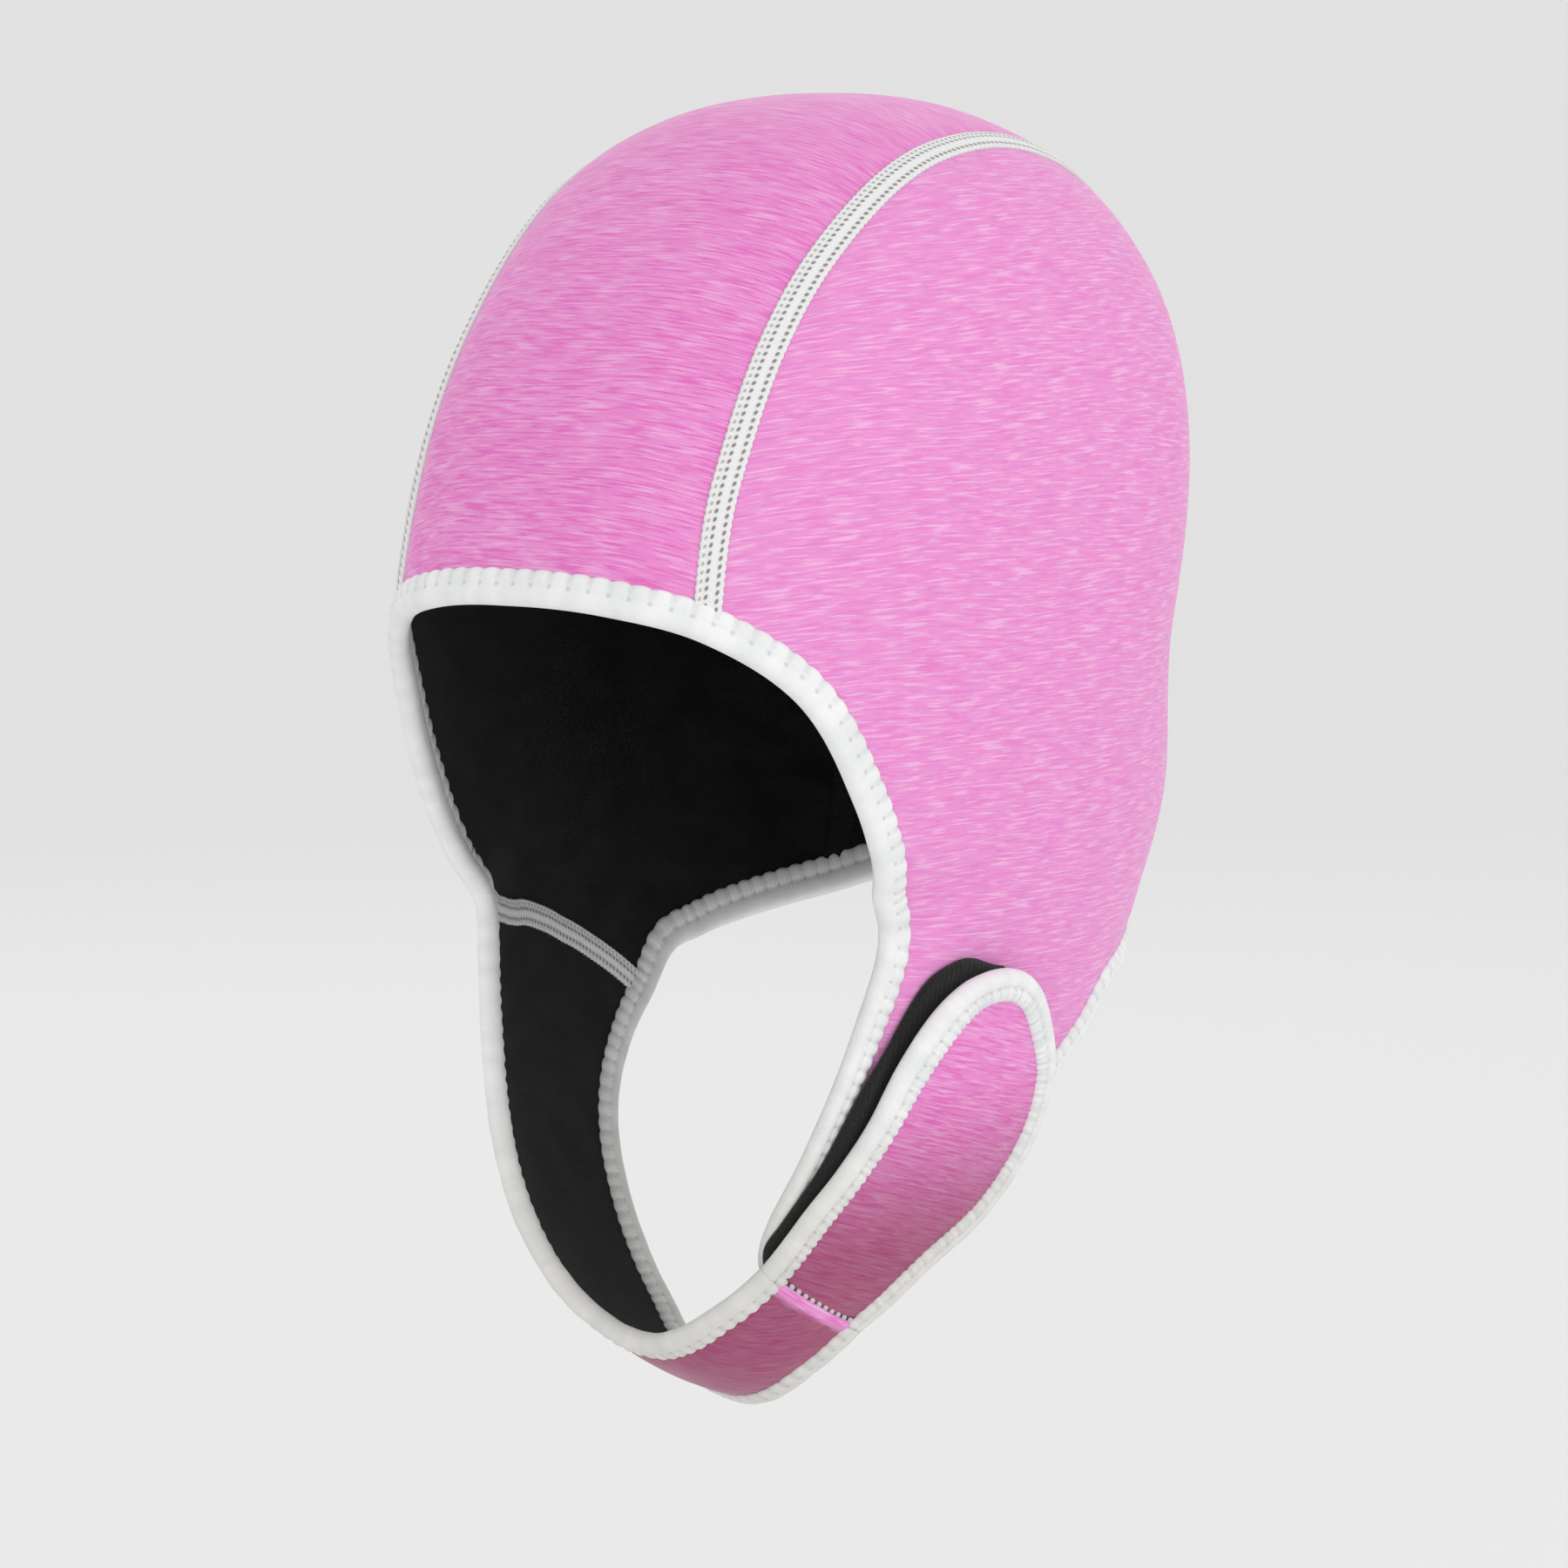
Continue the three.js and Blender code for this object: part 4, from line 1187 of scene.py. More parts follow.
def centre_panel_spots(rows, columns):
    """Spots of the centre panel. Its rows run from seam to seam, and the rows near its ends
    follow the binding more and more."""
    step = 1.3
    end_rows = 22
    gap = SEAM_GAP / 2
    brow = route(LEFT, LEFT_EDGE, ["brow", "brow seam"], step)
    nape = route(LEFT, LEFT_EDGE, ["nape seam", "nape"], step)
    crown = crown_line(LEFT, step)
    edge = crown.drawn_in(gap)
    for at, bound, end in ((0, brow, -1), (len(edge) - 1, nape, 0)):
        ways = crown.inward[at], gap, bound.inward[end], EDGE_INSET
        corner = inset_corner(crown[at:at + 1], *ways)
        edge.x[at], edge.y[at] = corner.x[0], corner.y[0]
    side = resampled(edge, np.linspace(0, 1, rows))
    reach = np.hypot(side[:, 0], side[:, 1])[:, None]
    turn = np.degrees(np.arctan2(side[:, 1], -side[:, 0]))[:, None]
    turn = np.where(turn < 0, turn + 360, turn)
    first, last = FACE_EDGE[0].angle, 360 + NAPE_EDGE[0].angle
    middle = np.linspace(first, last, rows)[:, None]
    across = np.linspace(-1, 1, columns + 1)[None]
    out = np.abs(across)
    angle = np.radians(middle + (turn - middle) * out * out)
    spread = 1 - out ** (FULLNESS / 2) * (1 - reach)
    spots = np.stack([-spread * np.cos(angle), spread * np.sin(angle)], -1)
    fade = smooth(np.arange(rows), 0, end_rows)[:, None, None]
    start = spots[0] - resampled(brow.drawn_in(EDGE_INSET), out[0])
    end = spots[-1] - resampled(nape[::-1].drawn_in(EDGE_INSET), out[0])
    spots = spots - (1 - fade) * start - (1 - fade[::-1]) * end
    ear = np.where(across < 0, RIGHT, LEFT) * np.ones((rows, 1), int)
    return Line(ear, spots[..., 0], spots[..., 1])


def build_centre_panel():
    rows, columns = 300, 64
    middle = columns // 2
    layer = centre_panel_spots(rows, columns)
    flat = layer.points()
    along, across = lengths_along(flat), lengths_along(flat, axis=1)
    relief = cap_relief(flat, [crown_line(LEFT, 1.0), crown_line(RIGHT, 1.0)])
    from_middle = across - across[:, middle][:, None]
    along_middle = along[:, middle][:, None] * np.ones_like(across)
    uv = np.stack([from_middle, along_middle], -1)
    looks = cloth_looks(deep_cloth)
    piece, area = gridded_sheet("centre_panel_cloth", layer, relief, uv, looks)
    flat_size = across[:, -1].max() * MM, along[-1].max() * MM
    settle(piece, "centre_panel", flat=flat_size, area=area)


def strap_layer(rows, columns):
    """Spots of the chin strap. Its rows bow with the seam at first, and with the joint
    near its end."""
    step = 1.5
    gap = SEAM_GAP / 2
    front_edge = route(RIGHT, RIGHT_FRONT, ["strap seam front", "joint"], step, -1)
    back_edge = route(RIGHT, RIGHT_BACK, ["strap seam back", "joint"], step)
    joint = from_other_ear(joint_line(1.0)[::-1])
    ends = []
    for line, place in ((strap_seam_line(step), 0), (joint, -1)):
        drawn = line.drawn_in(gap)
        for at, bound in ((0, front_edge), (len(line) - 1, back_edge)):
            ways = line.inward[at], gap, bound.inward[place], EDGE_INSET
            corner = inset_corner(line[at:at + 1], *ways)
            drawn.x[at], drawn.y[at] = corner.x[0], corner.y[0]
        ends.append(drawn)
    start, end = ends
    sides = []
    for bound, at in ((front_edge, 0), (back_edge, -1)):
        drawn = bound.drawn_in(EDGE_INSET)
        drawn.x[0], drawn.y[0] = start.x[at], start.y[at]
        drawn.x[-1], drawn.y[-1] = end.x[at], end.y[at]
        sides.append(drawn)
    along = np.linspace(0, 1, rows)[:, None]
    across = np.linspace(0, 1, columns)[None]
    front = resampled(sides[0], along[:, 0])[:, None]
    back = resampled(sides[1], along[:, 0])[:, None]
    arch = (1 - smooth(along, 0, STRAP_ARCH))[..., None]
    bend = smooth(along, 1 - STRAP_ARCH, 1)[..., None]
    spots = front + (back - front) * across[..., None]
    spots = spots + bow(start, across[0])[None] * arch + bow(end, across[0])[None] * bend
    return Line(RIGHT, spots[..., 0], spots[..., 1], None, ON_STRAP)


def laid_flat(along, off_middle):
    """Places on the flat strap, whose middle line turns by STRAP_TURN towards the joint."""
    turn = np.radians(STRAP_TURN) * along / along[-1]
    ahead = np.stack([np.sin(turn), np.cos(turn)], -1)
    steps = np.diff(along, prepend=0)[:, None]
    middle = np.cumsum(ahead * steps, axis=0)[:, None]
    sideways = np.stack([np.cos(turn), -np.sin(turn)], -1)[:, None]
    return middle + sideways * off_middle[..., None]


def build_chin_strap():
    rows, columns = 170, 44
    middle = columns // 2
    layer = strap_layer(rows, columns)
    flat = layer.points()
    along, across = lengths_along(flat), lengths_along(flat, axis=1)
    relief = cap_relief(flat, [strap_seam_line(1.0)])
    uv = laid_flat(along[:, middle], across - across[:, middle][:, None])
    looks = cloth_looks(deep_cloth)
    piece, area = gridded_sheet("chin_strap_cloth", layer, relief, uv, looks)
    flat_size = across[:, -1].max() * MM, along.max() * MM
    settle(piece, "chin_strap", flat=flat_size, area=area)


def tab_reach(points):
    """How far the tab's binding reaches: as far as the strap's at the joint, then further."""
    size = sizes()
    joint = size.binding_depth / MM * (1 - NARROWING)
    return joint + (size.tab_binding_depth / MM - joint) * smooth(points[..., 2], *TAB_WIDE_HEIGHTS)


def pad_centre():
    """The middle of both pads and of the tab, on the chart."""
    return chart(Spot("pad", -70, 0.36))


def turned_map(spots, degrees):
    cosine, sine = math.cos(math.radians(degrees)), math.sin(math.radians(degrees))
    return ear_map(spots) @ np.array([[cosine, sine], [-sine, cosine]])


def tab_outline_map(spots):
    """The tab's flat map along and across its outline."""
    return turned_map(spots, TAB_TURN)


def tab_knit_map(spots):
    """The tab's flat map in the direction of its knit."""
    return turned_map(spots, KNIT_TURN)


def build_strap_tab():
    step = 0.8
    swell, swell_reach = 0.5, (5, 16)
    bound = route(LEFT, TAB_EDGE, ["joint front", "joint back"], step, -1)
    joint = joint_line(step).flipped()
    edge = inset_loop([(bound, EDGE_INSET), (joint, SEAM_GAP / 2)]).carried(ON_TAB)
    line = tab_line(TAB_STEP)
    pitch = sizes().tab_pitch / MM

    def relief(points):
        height = sewn_relief(points, [line], [joint.carried(ON_TAB)], pitch, tab_reach(points))
        return height + swell * smooth(nearest(points, line)[0], *swell_reach)

    rings = np.linspace(0, 1, 31)[1:]
    looks = cloth_looks(deep_cloth)
    piece, area = ringed_sheet(
        "strap_tab_cloth", edge, pad_centre(), rings, relief, tab_knit_map, looks)
    settle(piece, "strap_tab", flat=flat_box(tab_outline_map, edge), area=area)


# One half of a folded binding, from the fold to its sewn edge: share of its depth, and
# height above the cloth in millimetres
BINDING_HALF = np.array([
    (-0.015, -0.95), (0.005, -0.2), (0.05, 0.5), (0.115, 1.0), (0.2, 1.32), (0.29, 1.43),
    (0.37, 1.4), (0.435, 1.3), (0.485, 1.2), (0.525, 1.14), (0.565, 1.12), (0.62, 1.12),
    (0.69, 1.1), (0.77, 1.0), (0.85, 0.84), (0.92, 0.6), (0.97, 0.28), (1.0, -0.2),
])


# Between these shares of its depth the tape's back lies beside the cloth, this far from it
LAID_SHARES = (0.86, 0.15)
LAID_GAP = 0.04
# Share by which the inner half of a tape is wider than the outer half, and the flat width
# of the whole tape in depths of its outer half
INNER_EXTRA = 0.3
TAPE_DEPTHS = 2.25 + INNER_EXTRA


def binding_section(line, stitched, reach, pitch, groove):
    """The rings of a binding: a smooth roll, a groove with needle marks, then pillows that
    end in a scalloped edge, on both sides of the cloth."""
    share = BINDING_HALF[:, 0]
    thickness = cloth_thickness()
    depth = reach(line.points())[:, None]
    stitched = stitched[:, None]
    bump = scallop(stitched, pitch)
    wobble = 0.05 * np.sin(stitched * 0.23) + 0.04 * np.sin(stitched * 0.61 + 1.3)
    roll = smooth(share, 0.0, 0.2) * (1 - smooth(share, 0.4, 0.5))
    pillow = smooth(share, 0.52, 0.66) * (1 - smooth(share, 0.93, 1.0))
    pillow_height = pillow * (bump ** 0.8 - 0.55) * 0.5
    off_stitch = (np.mod(stitched / pitch + 0.5, 1) - 0.5) * pitch
    mark_depth = hump(share, MARK_SHARE, 0.05) * hump(off_stitch, 0, 0.6) * 0.42
    groove_depth = hump(share, 0.5, 0.045) * groove
    high = BINDING_HALF[:, 1] + wobble * roll
    high = high + pillow_height - mark_depth - groove_depth
    far = share * depth - 0.5 * (1 - bump ** 0.7) * smooth(share, 0.7, 1.0)
    laid = np.array([*LAID_SHARES, *LAID_SHARES[::-1]])
    laid_height = np.repeat([LAID_GAP, -thickness - LAID_GAP], 2)
    wider = 1 + INNER_EXTRA * smooth(share, 0.1, 0.5)
    distance = [far, laid * depth, (far * wider)[:, :0:-1]]
    height = [high, laid_height + 0 * depth, -thickness - high[:, :0:-1]]
    return np.concatenate(distance, axis=1), np.concatenate(height, axis=1)


def binding_piece(name, node, line, reach, pitch, groove):
    share = BINDING_HALF[:, 0]
    across = np.concatenate([share, LAID_SHARES, LAID_SHARES[::-1], -share[:0:-1]])
    stitched = line.stitched(pitch)
    section = binding_section(line, stitched, reach, pitch, groove)
    slots = np.zeros(len(across), int)
    piece = swept(name, line, section, stitched, across[None], slots, [once(binding_tape)])
    width = TAPE_DEPTHS * float(reach(line.points()).mean()) * MM
    settle(piece, node, flat=(width, line.lengths()[-1] * MM))


def build_bindings():
    size = sizes()
    pitch, tab_pitch = size.binding_pitch / MM, size.tab_pitch / MM
    groove, tab_groove = 0.06, 0.5
    face, nape, tab = face_line(BINDING_STEP), nape_line(BINDING_STEP), tab_line(TAB_STEP)
    binding_piece("face_binding_tape", "face_binding", face, binding_reach, pitch, groove)
    binding_piece("nape_binding_tape", "nape_binding", nape, binding_reach, pitch, groove)
    binding_piece("tab_binding_tape", "tab_binding", tab, tab_reach, tab_pitch, tab_groove)


# Cross section of a flat seam: share of its half width, and height in millimetres
SEAM_HALF = np.array([
    (-1.0, -0.22), (-0.97, 0.26), (-0.9, 0.52), (-0.8, 0.58), (-0.66, 0.54), (-0.56, 0.5),
    (-0.5, 0.46), (-0.42, 0.52), (-0.3, 0.66), (-0.16, 0.72), (0.0, 0.7), (0.12, 0.62),
    (0.2, 0.5), (0.26, 0.46), (0.34, 0.52), (0.46, 0.58), (0.56, 0.56), (0.64, 0.5), (0.72, 0.53),
    (0.84, 0.56), (0.92, 0.5), (0.97, 0.26), (1.0, -0.22),
])


# The two bands of a flat seam, joined through the gap between two panels: share of the
# half width at which a band's back ends, half the width of what joins them, the height of
# the outer band's back, and how far the seam's ends run in under the bindings
BAND_BACK = 0.9
BAND_JOIN = 0.15
BAND_HEIGHT = -0.3
SEAM_OVERLAP = 2.0


def seam_section(stitched, width, pitch, mirrored):
    """The rings of a flat seam: three rows of threads on a band on each side of the cloth."""
    half = width / 2
    across, profile = SEAM_HALF[:, 0], SEAM_HALF[:, 1]
    share = across * (-1 if mirrored else 1)
    inner = -cloth_thickness() - LAID_GAP
    stitched = stitched[:, None]
    loop = np.where(across < 0, scallop(stitched, pitch), scallop(stitched + pitch / 3, pitch))
    edge = smooth(np.abs(across), 0.8, 1.0)
    far = half * share * (1 - 0.1 * (1 - loop) * edge)
    thread = 0.1 * (loop - 0.5) * (1 - smooth(np.abs(across), 0.93, 1.0))
    is_rib = (across > -0.4) & (across < 0.18)
    high = profile + np.where(is_rib, 0.3, 1.0) * thread
    side = np.sign(share[-1])
    back, join = BAND_BACK * half * side, BAND_JOIN * side
    ones = np.ones_like(stitched)
    right, right_height = np.array([back, join, join, back]), np.repeat([BAND_HEIGHT, inner], 2)
    distance = [far, right * ones, far[:, ::-1], -right * ones]
    low = inner + LAID_GAP - high[:, ::-1]
    height = [high, right_height * ones, low, right_height[::-1] * ones]
    return np.concatenate(distance, axis=1), np.concatenate(height, axis=1)


def seam_piece(name, node, line, mirrored, inner_look):
    size = sizes()
    width, pitch = size.seam_width / MM, size.seam_pitch / MM
    trimmed = line.trimmed(float(binding_reach(line.points()[[0, -1]]).min()) - SEAM_OVERLAP)
    share = -SEAM_HALF[:, 0] * width / 2
    across = np.concatenate([share, np.full(4, share[-1]), share[::-1], np.full(4, share[0])])
    count = len(share)
    slots = np.repeat([0, 1, 0], [count + 2, count + 4, 2])
    stitched = trimmed.stitched(pitch)
    section = seam_section(stitched, width, pitch, mirrored)
    looks = [once(seam_threads), inner_look]
    piece = swept(name, trimmed, section, stitched, across[None], slots, looks)
    settle(piece, node, flat=(2 * size.seam_width, trimmed.lengths()[-1] * MM))


def seam_step():
    """Five spots to a stitch."""
    return sizes().seam_pitch / MM / 5


def build_crown_seams():
    inner = once(lining_threads)
    left, right = crown_line(LEFT, seam_step()), crown_line(RIGHT, seam_step())
    seam_piece("crown_seam_left_threads", "crown_seam_left", left, True, inner)
    seam_piece("crown_seam_right_threads", "crown_seam_right", right, False, inner)


def build_strap_seam():
    line = strap_seam_line(seam_step())
    seam_piece("strap_seam_threads", "strap_seam", line, False, once(seam_threads))


# Ring of the strap's folded end: distance towards the strap, and height, in millimetres
JOINT_RING = np.array([
    (3.1, -0.14), (2.7, 0.06), (2.1, 0.16), (1.5, 0.3), (0.95, 0.44), (0.4, 0.56), (-0.2, 0.6),
    (-0.65, 0.55), (-0.95, 0.3), (-1.05, 0.05),
    (-0.95, -0.2), (-0.2, -0.3), (-0.2, -1.8), (-1.0, -1.9), (-1.0, -2.3), (1.0, -2.3), (1.0, -1.9),
    (0.2, -1.8), (0.2, -0.3), (2.7, -0.36),
])
# Points of the ring above this height swell between the stitches
JOINT_SWELL = 0.1
JOINT_SWELL_ABOVE = 0.2
JOINT_END = 5.0
# Stitches of the joint: distance from one to the next, where the row starts and ends, how
# far it stands out from the joint's line and above the cloth, the ball that each is drawn
# out from, and how much it slants
STITCH_STEP = 1.25
STITCH_ENDS = (1.2, 0.6)
STITCH_OUT = -1.4
STITCH_HEIGHT = 0.24
STITCH_RADIUS = 0.34
STITCH_SLANT = 0.35
THREAD_STRETCH = (2.7, 1.8, 1.0, 1.0)
HOLE_STRETCH = (1.3, 1.1, 0.5, 1.0)


def build_strap_joint():
    """The folded end of the strap, sewn to the tab with a row of slanting stitches."""
    line = joint_line(RELIEF_STEP).carried(ON_TAB).trimmed(JOINT_END)
    along = line.lengths()
    across, height = JOINT_RING[:, 0], JOINT_RING[:, 1]
    swell = JOINT_SWELL * scallop(along, 2 * STITCH_STEP)[:, None]
    section = across + 0 * swell, height + np.where(height > JOINT_SWELL_ABOVE, swell, 0)
    slots = np.zeros(len(JOINT_RING), int)
    fold = swept("strap_joint_fold", line, section, along, across[None], slots, [once(fold_cloth)])
    settle(fold, "strap_joint")
    stitches = joint_stitches(line)
    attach(stitches, "root")


def joint_stitches(line):
    """Short threads with a needle hole after each, dark with painted shade, made of small drawn-out balls.
    """
    along = line.lengths()
    places = np.arange(STITCH_ENDS[0], along[-1] - STITCH_ENDS[1], STITCH_STEP)
    spots = line.spread(along, places)
    spots = spots.walked(spots.inward, STITCH_OUT)
    points = spots.points(STITCH_HEIGHT)
    normals = outward(spots.ear, spots.x, spots.y)
    made = []
    for index, (point, normal, inward) in enumerate(zip(points, normals, spots.inward)):
        bpy.ops.object.select_all(action="DESELECT")
        bpy.ops.mesh.primitive_uv_sphere_add(segments=10, ring_count=8, radius=STITCH_RADIUS * MM)
        stitch = bpy.context.object
        is_hole = index % 2 == 1
        x_axis = Vector(unit(np.cross(normal, inward) + inward * STITCH_SLANT))
        z_axis = Vector(normal)
        y_axis = z_axis.cross(x_axis)
        turn = Matrix((x_axis, y_axis, z_axis)).transposed().to_4x4()
        stretch = Matrix.Diagonal(HOLE_STRETCH if is_hole else THREAD_STRETCH)
        stitch.data.transform(Matrix.Translation(Vector(point * MM)) @ turn @ stretch)
        stitch.data.materials.append(once(needle_hole if is_hole else joint_thread))
        made.append(stitch)
    for stitch in made:
        stitch.select_set(True)
    bpy.context.view_layer.objects.active = made[0]
    bpy.ops.object.join()
    whole = bpy.context.object
    whole.name = whole.data.name = "strap_joint_stitches"
    whole.data.uv_layers[0].name = "cloth_map"
    bpy.ops.object.shade_smooth()
    return whole


# The ribbed edge of a pad: pitch and height of its ribs, the distances from the edge at
# which they start and end, and how far and how deep the edge is rounded
PAD_RIB_PITCH = 1.3
PAD_RIB_HEIGHT = 0.22
PAD_RIBS_START = (0.1, 1.0)
PAD_RIBS_END = (3.8, 4.6)
PAD_ROUNDING = 0.9
PAD_ROUND_DEPTH = 0.5
# Height of the sewn pad above the cloth, and how much more it has on a binding that is
# nearer than the distances
PAD_HEIGHT = 1.7
PAD_ON_BINDING = 1.15
PAD_BINDING_NEAR = (6.0, 10.0)
# Rings of a pad's outer face, and those of them that its inner face keeps
PAD_RINGS = np.concatenate([np.linspace(0, 0.8, 13)[1:], np.linspace(0.84, 1, 9)])
PAD_KEPT = [5, 12, -1]


def pad_piece(name, node, edge, outer, edge_ribs):
    """A pad with a ribbed edge, from its outline and the height of its outer face."""
    layer, middle = ringed(edge, pad_centre(), PAD_RINGS)
    flat = layer.points()
    rim = flat[-1]
    depth = np.linalg.norm(flat - rim, axis=-1)
    along = lengths_along(np.concatenate([rim, rim[:1]]))
    pitch = along[-1] / round(along[-1] / PAD_RIB_PITCH)
    ribs = PAD_RIB_HEIGHT * scallop(along[:-1], pitch)
    band = smooth(depth, *PAD_RIBS_START) * (1 - smooth(depth, *PAD_RIBS_END))
    rounded = PAD_ROUND_DEPTH * (1 - smooth(depth, 0, PAD_ROUNDING))
    face, middle_face = outer(flat), outer(middle.points())
    top = face - rounded + band * ribs * edge_ribs
    under = (face - PAD_THICKNESS)[PAD_KEPT]
    layers = [(middle, middle_face, layer, top)]
    layers.append((middle, middle_face - PAD_THICKNESS, layer[PAD_KEPT], under))
    piece, area = ringed_body(name, layers, ear_map, [once(pad_tape)])
    settle(piece, node, flat=flat_box(ear_map, edge), area=area / 2)


def build_pads():
    step = 0.5
    outline = traced(LEFT, LOOP_PAD, "top", "top again", step)[:-1]
    edge = face_line(RELIEF_STEP)

    def over_binding(points):
        """The sewn pad lies over the binding where it comes near to the edge."""
        away = nearest(points, edge)[0]
        return PAD_HEIGHT + PAD_ON_BINDING * (1 - smooth(away, *PAD_BINDING_NEAR))
    pad_piece("loop_pad_tape", "loop_pad", outline, over_binding, 1.0)

    def under_tab(points):
        return np.full(points.shape[:-1], -cloth_thickness() - PAD_CLEARANCE)
    hook = route(LEFT, TAB_EDGE, ["front low", "back bend"], step, -1).carried(ON_TAB)
    pad_piece("hook_pad_tape", "hook_pad", hook.drawn_in(PAD_INSET), under_tab, 0.0)


# The photographed view, about the line through both ears, in degrees, metres and, for the
# lens, millimetres
VIEW_AZIMUTH = 34.0
VIEW_ELEVATION = 6.0
VIEW_DISTANCE = 1.5
VIEW_LENS = 152.4
VIEW_SHIFT = (0.00157, 0.00512)
# The soft lights: power, size, turn from the camera's side, rise and distance
LIGHTS = {
    "key_light": (6.5, 1.3, 60, 12, 1.9),
    "front_light": (7.0, 1.6, -8, 4, 2.0),
    "back_light": (2.0, 1.6, 190, 30, 2.2),
}
AIR_STRENGTH = 0.9
# The round floor and the quarter circle by which it curves up
FLOOR_HEIGHT = -0.47
FLOOR_RADIUS = 3.0
FLOOR_CURVE = 1.5
FLOOR_STEPS = 8


def view_axes():
    """The camera's right, its up and the way it looks."""
    azimuth, elevation = math.radians(VIEW_AZIMUTH), math.radians(VIEW_ELEVATION)
    right = Vector((math.cos(azimuth), math.sin(azimuth), 0))
    level = Vector((-math.sin(azimuth), math.cos(azimuth), 0))
    ahead = level * math.cos(elevation) - Vector((0, 0, math.sin(elevation)))
    return right, right.cross(ahead), ahead


def look_along(item, place, right, up):
    turn = Matrix((right, up, right.cross(up))).transposed().to_4x4()
    item.matrix_world = Matrix.Translation(place) @ turn


def build_stage():
    right, up, ahead = view_axes()
    target = Vector((0, EAR_CENTRE[0] * MM, EAR_CENTRE[1] * MM))
    bpy.ops.object.camera_add()
    camera = bpy.context.object
    camera.data.lens = VIEW_LENS
    camera.data.sensor_width = 36
    camera.data.clip_end = 50
    aim = target + right * VIEW_SHIFT[0] + up * VIEW_SHIFT[1]
    look_along(camera, aim - ahead * VIEW_DISTANCE, right, up)
    bpy.context.scene.camera = camera
    add_floor()
    for name, light in LIGHTS.items():
        add_light(name, target, *light)
    world = bpy.data.worlds.new("studio_air")
    bpy.context.scene.world = world
    world.use_nodes = True
    air = world.node_tree.nodes["Background"]
    air.inputs["Color"].default_value = (1, 1, 1, 1)
    air.inputs["Strength"].default_value = AIR_STRENGTH
    bpy.context.scene.view_settings.view_transform = "Standard"


def add_light(name, target, power, size, turn, rise, distance):
    """A soft square light, turned from the camera's side and raised, that faces the cap."""
    angle = math.radians(VIEW_AZIMUTH + turn)
    height = math.radians(rise)
    level = math.cos(height)
    toward = Vector((math.sin(angle) * level, -math.cos(angle) * level, math.sin(height)))
    bpy.ops.object.light_add(type="AREA", location=target + toward * distance)
    light = bpy.context.object
    light.name = name
    light.data.energy = power
    light.data.size = size
    light.rotation_euler = toward.to_track_quat("Z", "Y").to_euler()


def add_floor():
    """A pale round floor that curves up into a wall far from the cap."""
    bpy.ops.object.select_all(action="DESELECT")
    bpy.ops.mesh.primitive_circle_add(
        vertices=96, radius=FLOOR_RADIUS, fill_type="NGON", location=(0, 0, FLOOR_HEIGHT))
    floor = bpy.context.object
    floor.name = "floor"
    bpy.ops.object.mode_set(mode="EDIT")
    bpy.ops.mesh.select_all(action="SELECT")
    bpy.ops.mesh.region_to_loop()
    for step in range(FLOOR_STEPS):
        before = math.radians(90 * step / FLOOR_STEPS)
        turn = math.radians(90 * (step + 1) / FLOOR_STEPS)
        last = FLOOR_RADIUS + FLOOR_CURVE * math.sin(before)
        out = FLOOR_RADIUS + FLOOR_CURVE * math.sin(turn)
        rise = FLOOR_CURVE * (math.cos(before) - math.cos(turn))
        bpy.ops.mesh.extrude_edges_move(TRANSFORM_OT_translate={"value": (0, 0, rise)})
        bpy.ops.transform.resize(value=(out / last, out / last, 1))
    bpy.ops.mesh.select_all(action="SELECT")
    bpy.ops.mesh.normals_make_consistent(inside=True)
    bpy.ops.object.mode_set(mode="OBJECT")
    bpy.ops.object.shade_smooth()
    material = bpy.data.materials.new("pale_floor")
    material.use_nodes = True
    surface = material.node_tree.nodes["Principled BSDF"]
    surface.inputs["Base Color"].default_value = (0.86, 0.86, 0.86, 1)
    surface.inputs["Roughness"].default_value = 0.9
    surface.inputs["Specular IOR Level"].default_value = 0.1
    floor.data.materials.append(material)


def colour_property(name, description, default):
    return bpy.props.FloatVectorProperty(
        name=name, description=description, default=default, subtype="COLOR", size=3, min=0, max=1)


def length_property(name, description, default):
    return bpy.props.FloatProperty(
        name=name, description=description, default=default, unit="LENGTH", min=0.0002, precision=4)


class SwimCapSizes(bpy.types.PropertyGroup):
    """Sizes of the cap's cloth, bindings and stitching."""
    cloth_thickness: length_property("Cloth", "Thickness of the foam-backed cloth", 0.002)
    binding_depth: length_property("Binding", "How far the edge binding reaches over the cloth", 0.008)
    binding_pitch: length_property("Binding stitch", "Distance between two stitches of the binding", 0.0044)
    tab_binding_depth: length_property("Tab binding", "How far the tab's binding reaches", 0.0074)
    tab_pitch: length_property("Tab stitch", "Distance between two stitches of the tab's binding", 0.0026)
    seam_width: length_property("Flat seam", "Width of a flat seam", 0.0064)
    seam_pitch: length_property("Seam stitch", "Distance between two stitches of a flat seam", 0.00184)


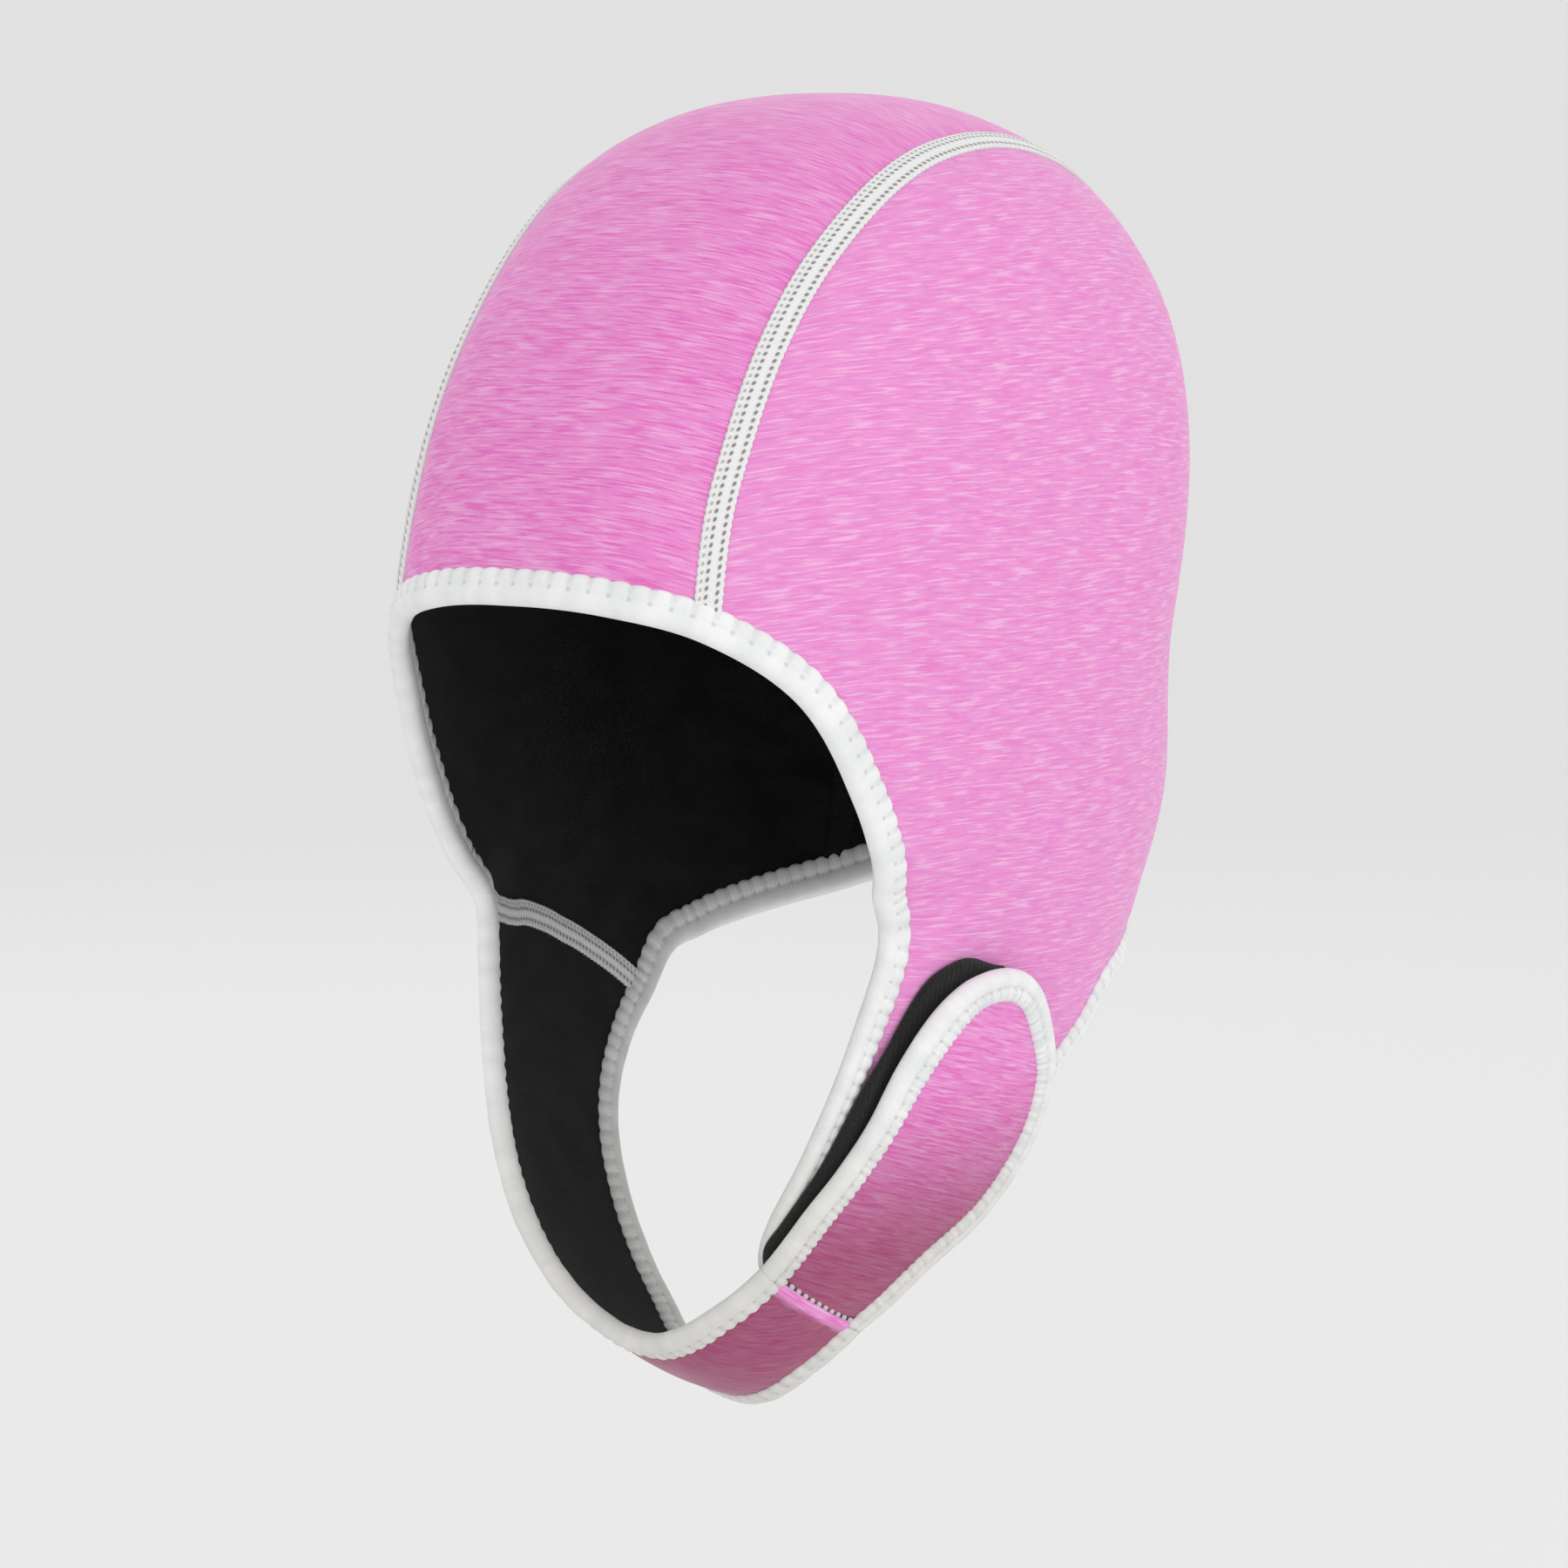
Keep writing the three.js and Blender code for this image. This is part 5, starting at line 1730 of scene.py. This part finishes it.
class SwimCapColours(bpy.types.PropertyGroup):
    """Colours of the cap's cloth, trims and pads."""
    cloth: colour_property("Cloth", "Middle tone of the heathered cloth", (0.79, 0.245, 0.58))
    cloth_light: colour_property("Cloth, light", "Lighter areas of the cloth", (0.81, 0.305, 0.63))
    cloth_deep: colour_property("Cloth, deep", "Deep streaks", (0.73, 0.13, 0.49))
    cloth_pale: colour_property("Cloth, pale", "Pale streaks", (0.87, 0.54, 0.76))
    cloth_lilac: colour_property("Cloth, lilac", "Cooler patches of the cloth", (0.74, 0.3, 0.65))
    cloth_shade: colour_property(
        "Cloth, shaded", "How much of each colour is left in the shade under the chin", (0.45, 0.31, 0.29))
    lining: colour_property("Lining", "Inner face of the cloth", (0.0035, 0.0035, 0.004))
    lining_light: colour_property("Lining, light", "Lighter areas of the lining", (0.009, 0.009, 0.011))
    trim: colour_property("Tape", "Binding tape", (0.88, 0.88, 0.88))
    trim_shade: colour_property("Tape, shade", "Duller areas of tape and thread", (0.78, 0.79, 0.79))
    trim_low: colour_property("Tape, low", "Shade of the tape under the chin", (0.62, 0.58, 0.5))
    seam: colour_property("Seam thread", "Thread of the flat seams", (0.82, 0.82, 0.79))
    # Painted shade for hollows, needle marks, seam edges and the twist of the joint's thread
    thread_shade: colour_property("Thread, shade", "Hollows between threads", (0.42, 0.43, 0.46))
    # Painted shade in needle holes
    hole: colour_property("Needle hole", "Needle holes of the flat seams", (0.13, 0.10, 0.13))
    pad: colour_property("Pad", "Hook-and-loop pads", (0.006, 0.006, 0.006))
    pad_light: colour_property("Pad, light", "Raised loops of the pads", (0.022, 0.022, 0.02))


class Builder:
    """What the operators share. A piece that can't be made raises its error."""
    bl_options = {"REGISTER", "UNDO"}

    def execute(self, context):
        self.build()
        return {"FINISHED"}


class SWIMCAP_OT_centre_panel(Builder, bpy.types.Operator):
    """Make the cloth from the brow over the crown to the nape"""
    bl_idname = "swimcap.centre_panel"
    bl_label = "Centre Panel"
    build = staticmethod(build_centre_panel)


class SWIMCAP_OT_side_panels(Builder, bpy.types.Operator):
    """Make the cloth of both sides, with their ear flaps"""
    bl_idname = "swimcap.side_panels"
    bl_label = "Side Panels"
    build = staticmethod(build_side_panels)


class SWIMCAP_OT_chin_strap(Builder, bpy.types.Operator):
    """Make the strap that passes under the chin"""
    bl_idname = "swimcap.chin_strap"
    bl_label = "Chin Strap"
    build = staticmethod(build_chin_strap)


class SWIMCAP_OT_strap_tab(Builder, bpy.types.Operator):
    """Make the rounded tab that closes the strap"""
    bl_idname = "swimcap.strap_tab"
    bl_label = "Strap Tab"
    build = staticmethod(build_strap_tab)


class SWIMCAP_OT_bindings(Builder, bpy.types.Operator):
    """Make the folded tape along every edge"""
    bl_idname = "swimcap.bindings"
    bl_label = "Bindings"
    build = staticmethod(build_bindings)


class SWIMCAP_OT_crown_seams(Builder, bpy.types.Operator):
    """Make the two flat seams over the crown"""
    bl_idname = "swimcap.crown_seams"
    bl_label = "Crown Seams"
    build = staticmethod(build_crown_seams)


class SWIMCAP_OT_strap_seam(Builder, bpy.types.Operator):
    """Make the flat seam between the right flap and the strap"""
    bl_idname = "swimcap.strap_seam"
    bl_label = "Strap Seam"
    build = staticmethod(build_strap_seam)


class SWIMCAP_OT_strap_joint(Builder, bpy.types.Operator):
    """Make the sewn joint between the strap and its tab"""
    bl_idname = "swimcap.strap_joint"
    bl_label = "Strap Joint"
    build = staticmethod(build_strap_joint)


class SWIMCAP_OT_pads(Builder, bpy.types.Operator):
    """Make the two pads that fasten the tab"""
    bl_idname = "swimcap.pads"
    bl_label = "Pads"
    build = staticmethod(build_pads)


class SWIMCAP_OT_stage(Builder, bpy.types.Operator):
    """Make the floor, the lights and the camera"""
    bl_idname = "swimcap.stage"
    bl_label = "Stage"
    build = staticmethod(build_stage)


OPERATORS = (
    SWIMCAP_OT_centre_panel,
    SWIMCAP_OT_side_panels,
    SWIMCAP_OT_chin_strap,
    SWIMCAP_OT_strap_tab,
    SWIMCAP_OT_bindings,
    SWIMCAP_OT_crown_seams,
    SWIMCAP_OT_strap_seam,
    SWIMCAP_OT_strap_joint,
    SWIMCAP_OT_pads,
    SWIMCAP_OT_stage,
)


class SWIMCAP_PT_panel(bpy.types.Panel):
    """Lists the cap's sizes, colours and pieces"""
    bl_idname = "SWIMCAP_PT_panel"
    bl_label = "Swim Cap"
    bl_space_type = "VIEW_3D"
    bl_region_type = "UI"
    bl_category = "Swim Cap"

    def draw(self, context):
        for group in (sizes(), colours()):
            for name in group.__annotations__:
                self.layout.prop(group, name)
        for operator in OPERATORS:
            self.layout.operator(operator.bl_idname)


CLASSES = (SwimCapSizes, SwimCapColours, *OPERATORS, SWIMCAP_PT_panel)


def register():
    for item in CLASSES:
        bpy.utils.register_class(item)
    bpy.types.Scene.swim_cap_sizes = bpy.props.PointerProperty(type=SwimCapSizes)
    bpy.types.Scene.swim_cap_colours = bpy.props.PointerProperty(type=SwimCapColours)


def unregister():
    del bpy.types.Scene.swim_cap_colours
    del bpy.types.Scene.swim_cap_sizes
    for item in reversed(CLASSES):
        bpy.utils.unregister_class(item)


def main():
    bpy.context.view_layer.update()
    register()
    bpy.ops.swimcap.centre_panel()
    bpy.ops.swimcap.side_panels()
    bpy.ops.swimcap.chin_strap()
    bpy.ops.swimcap.strap_tab()
    bpy.ops.swimcap.bindings()
    bpy.ops.swimcap.crown_seams()
    bpy.ops.swimcap.strap_seam()
    bpy.ops.swimcap.strap_joint()
    bpy.ops.swimcap.pads()
    bpy.ops.swimcap.stage()


if __name__ == "__main__":
    main()
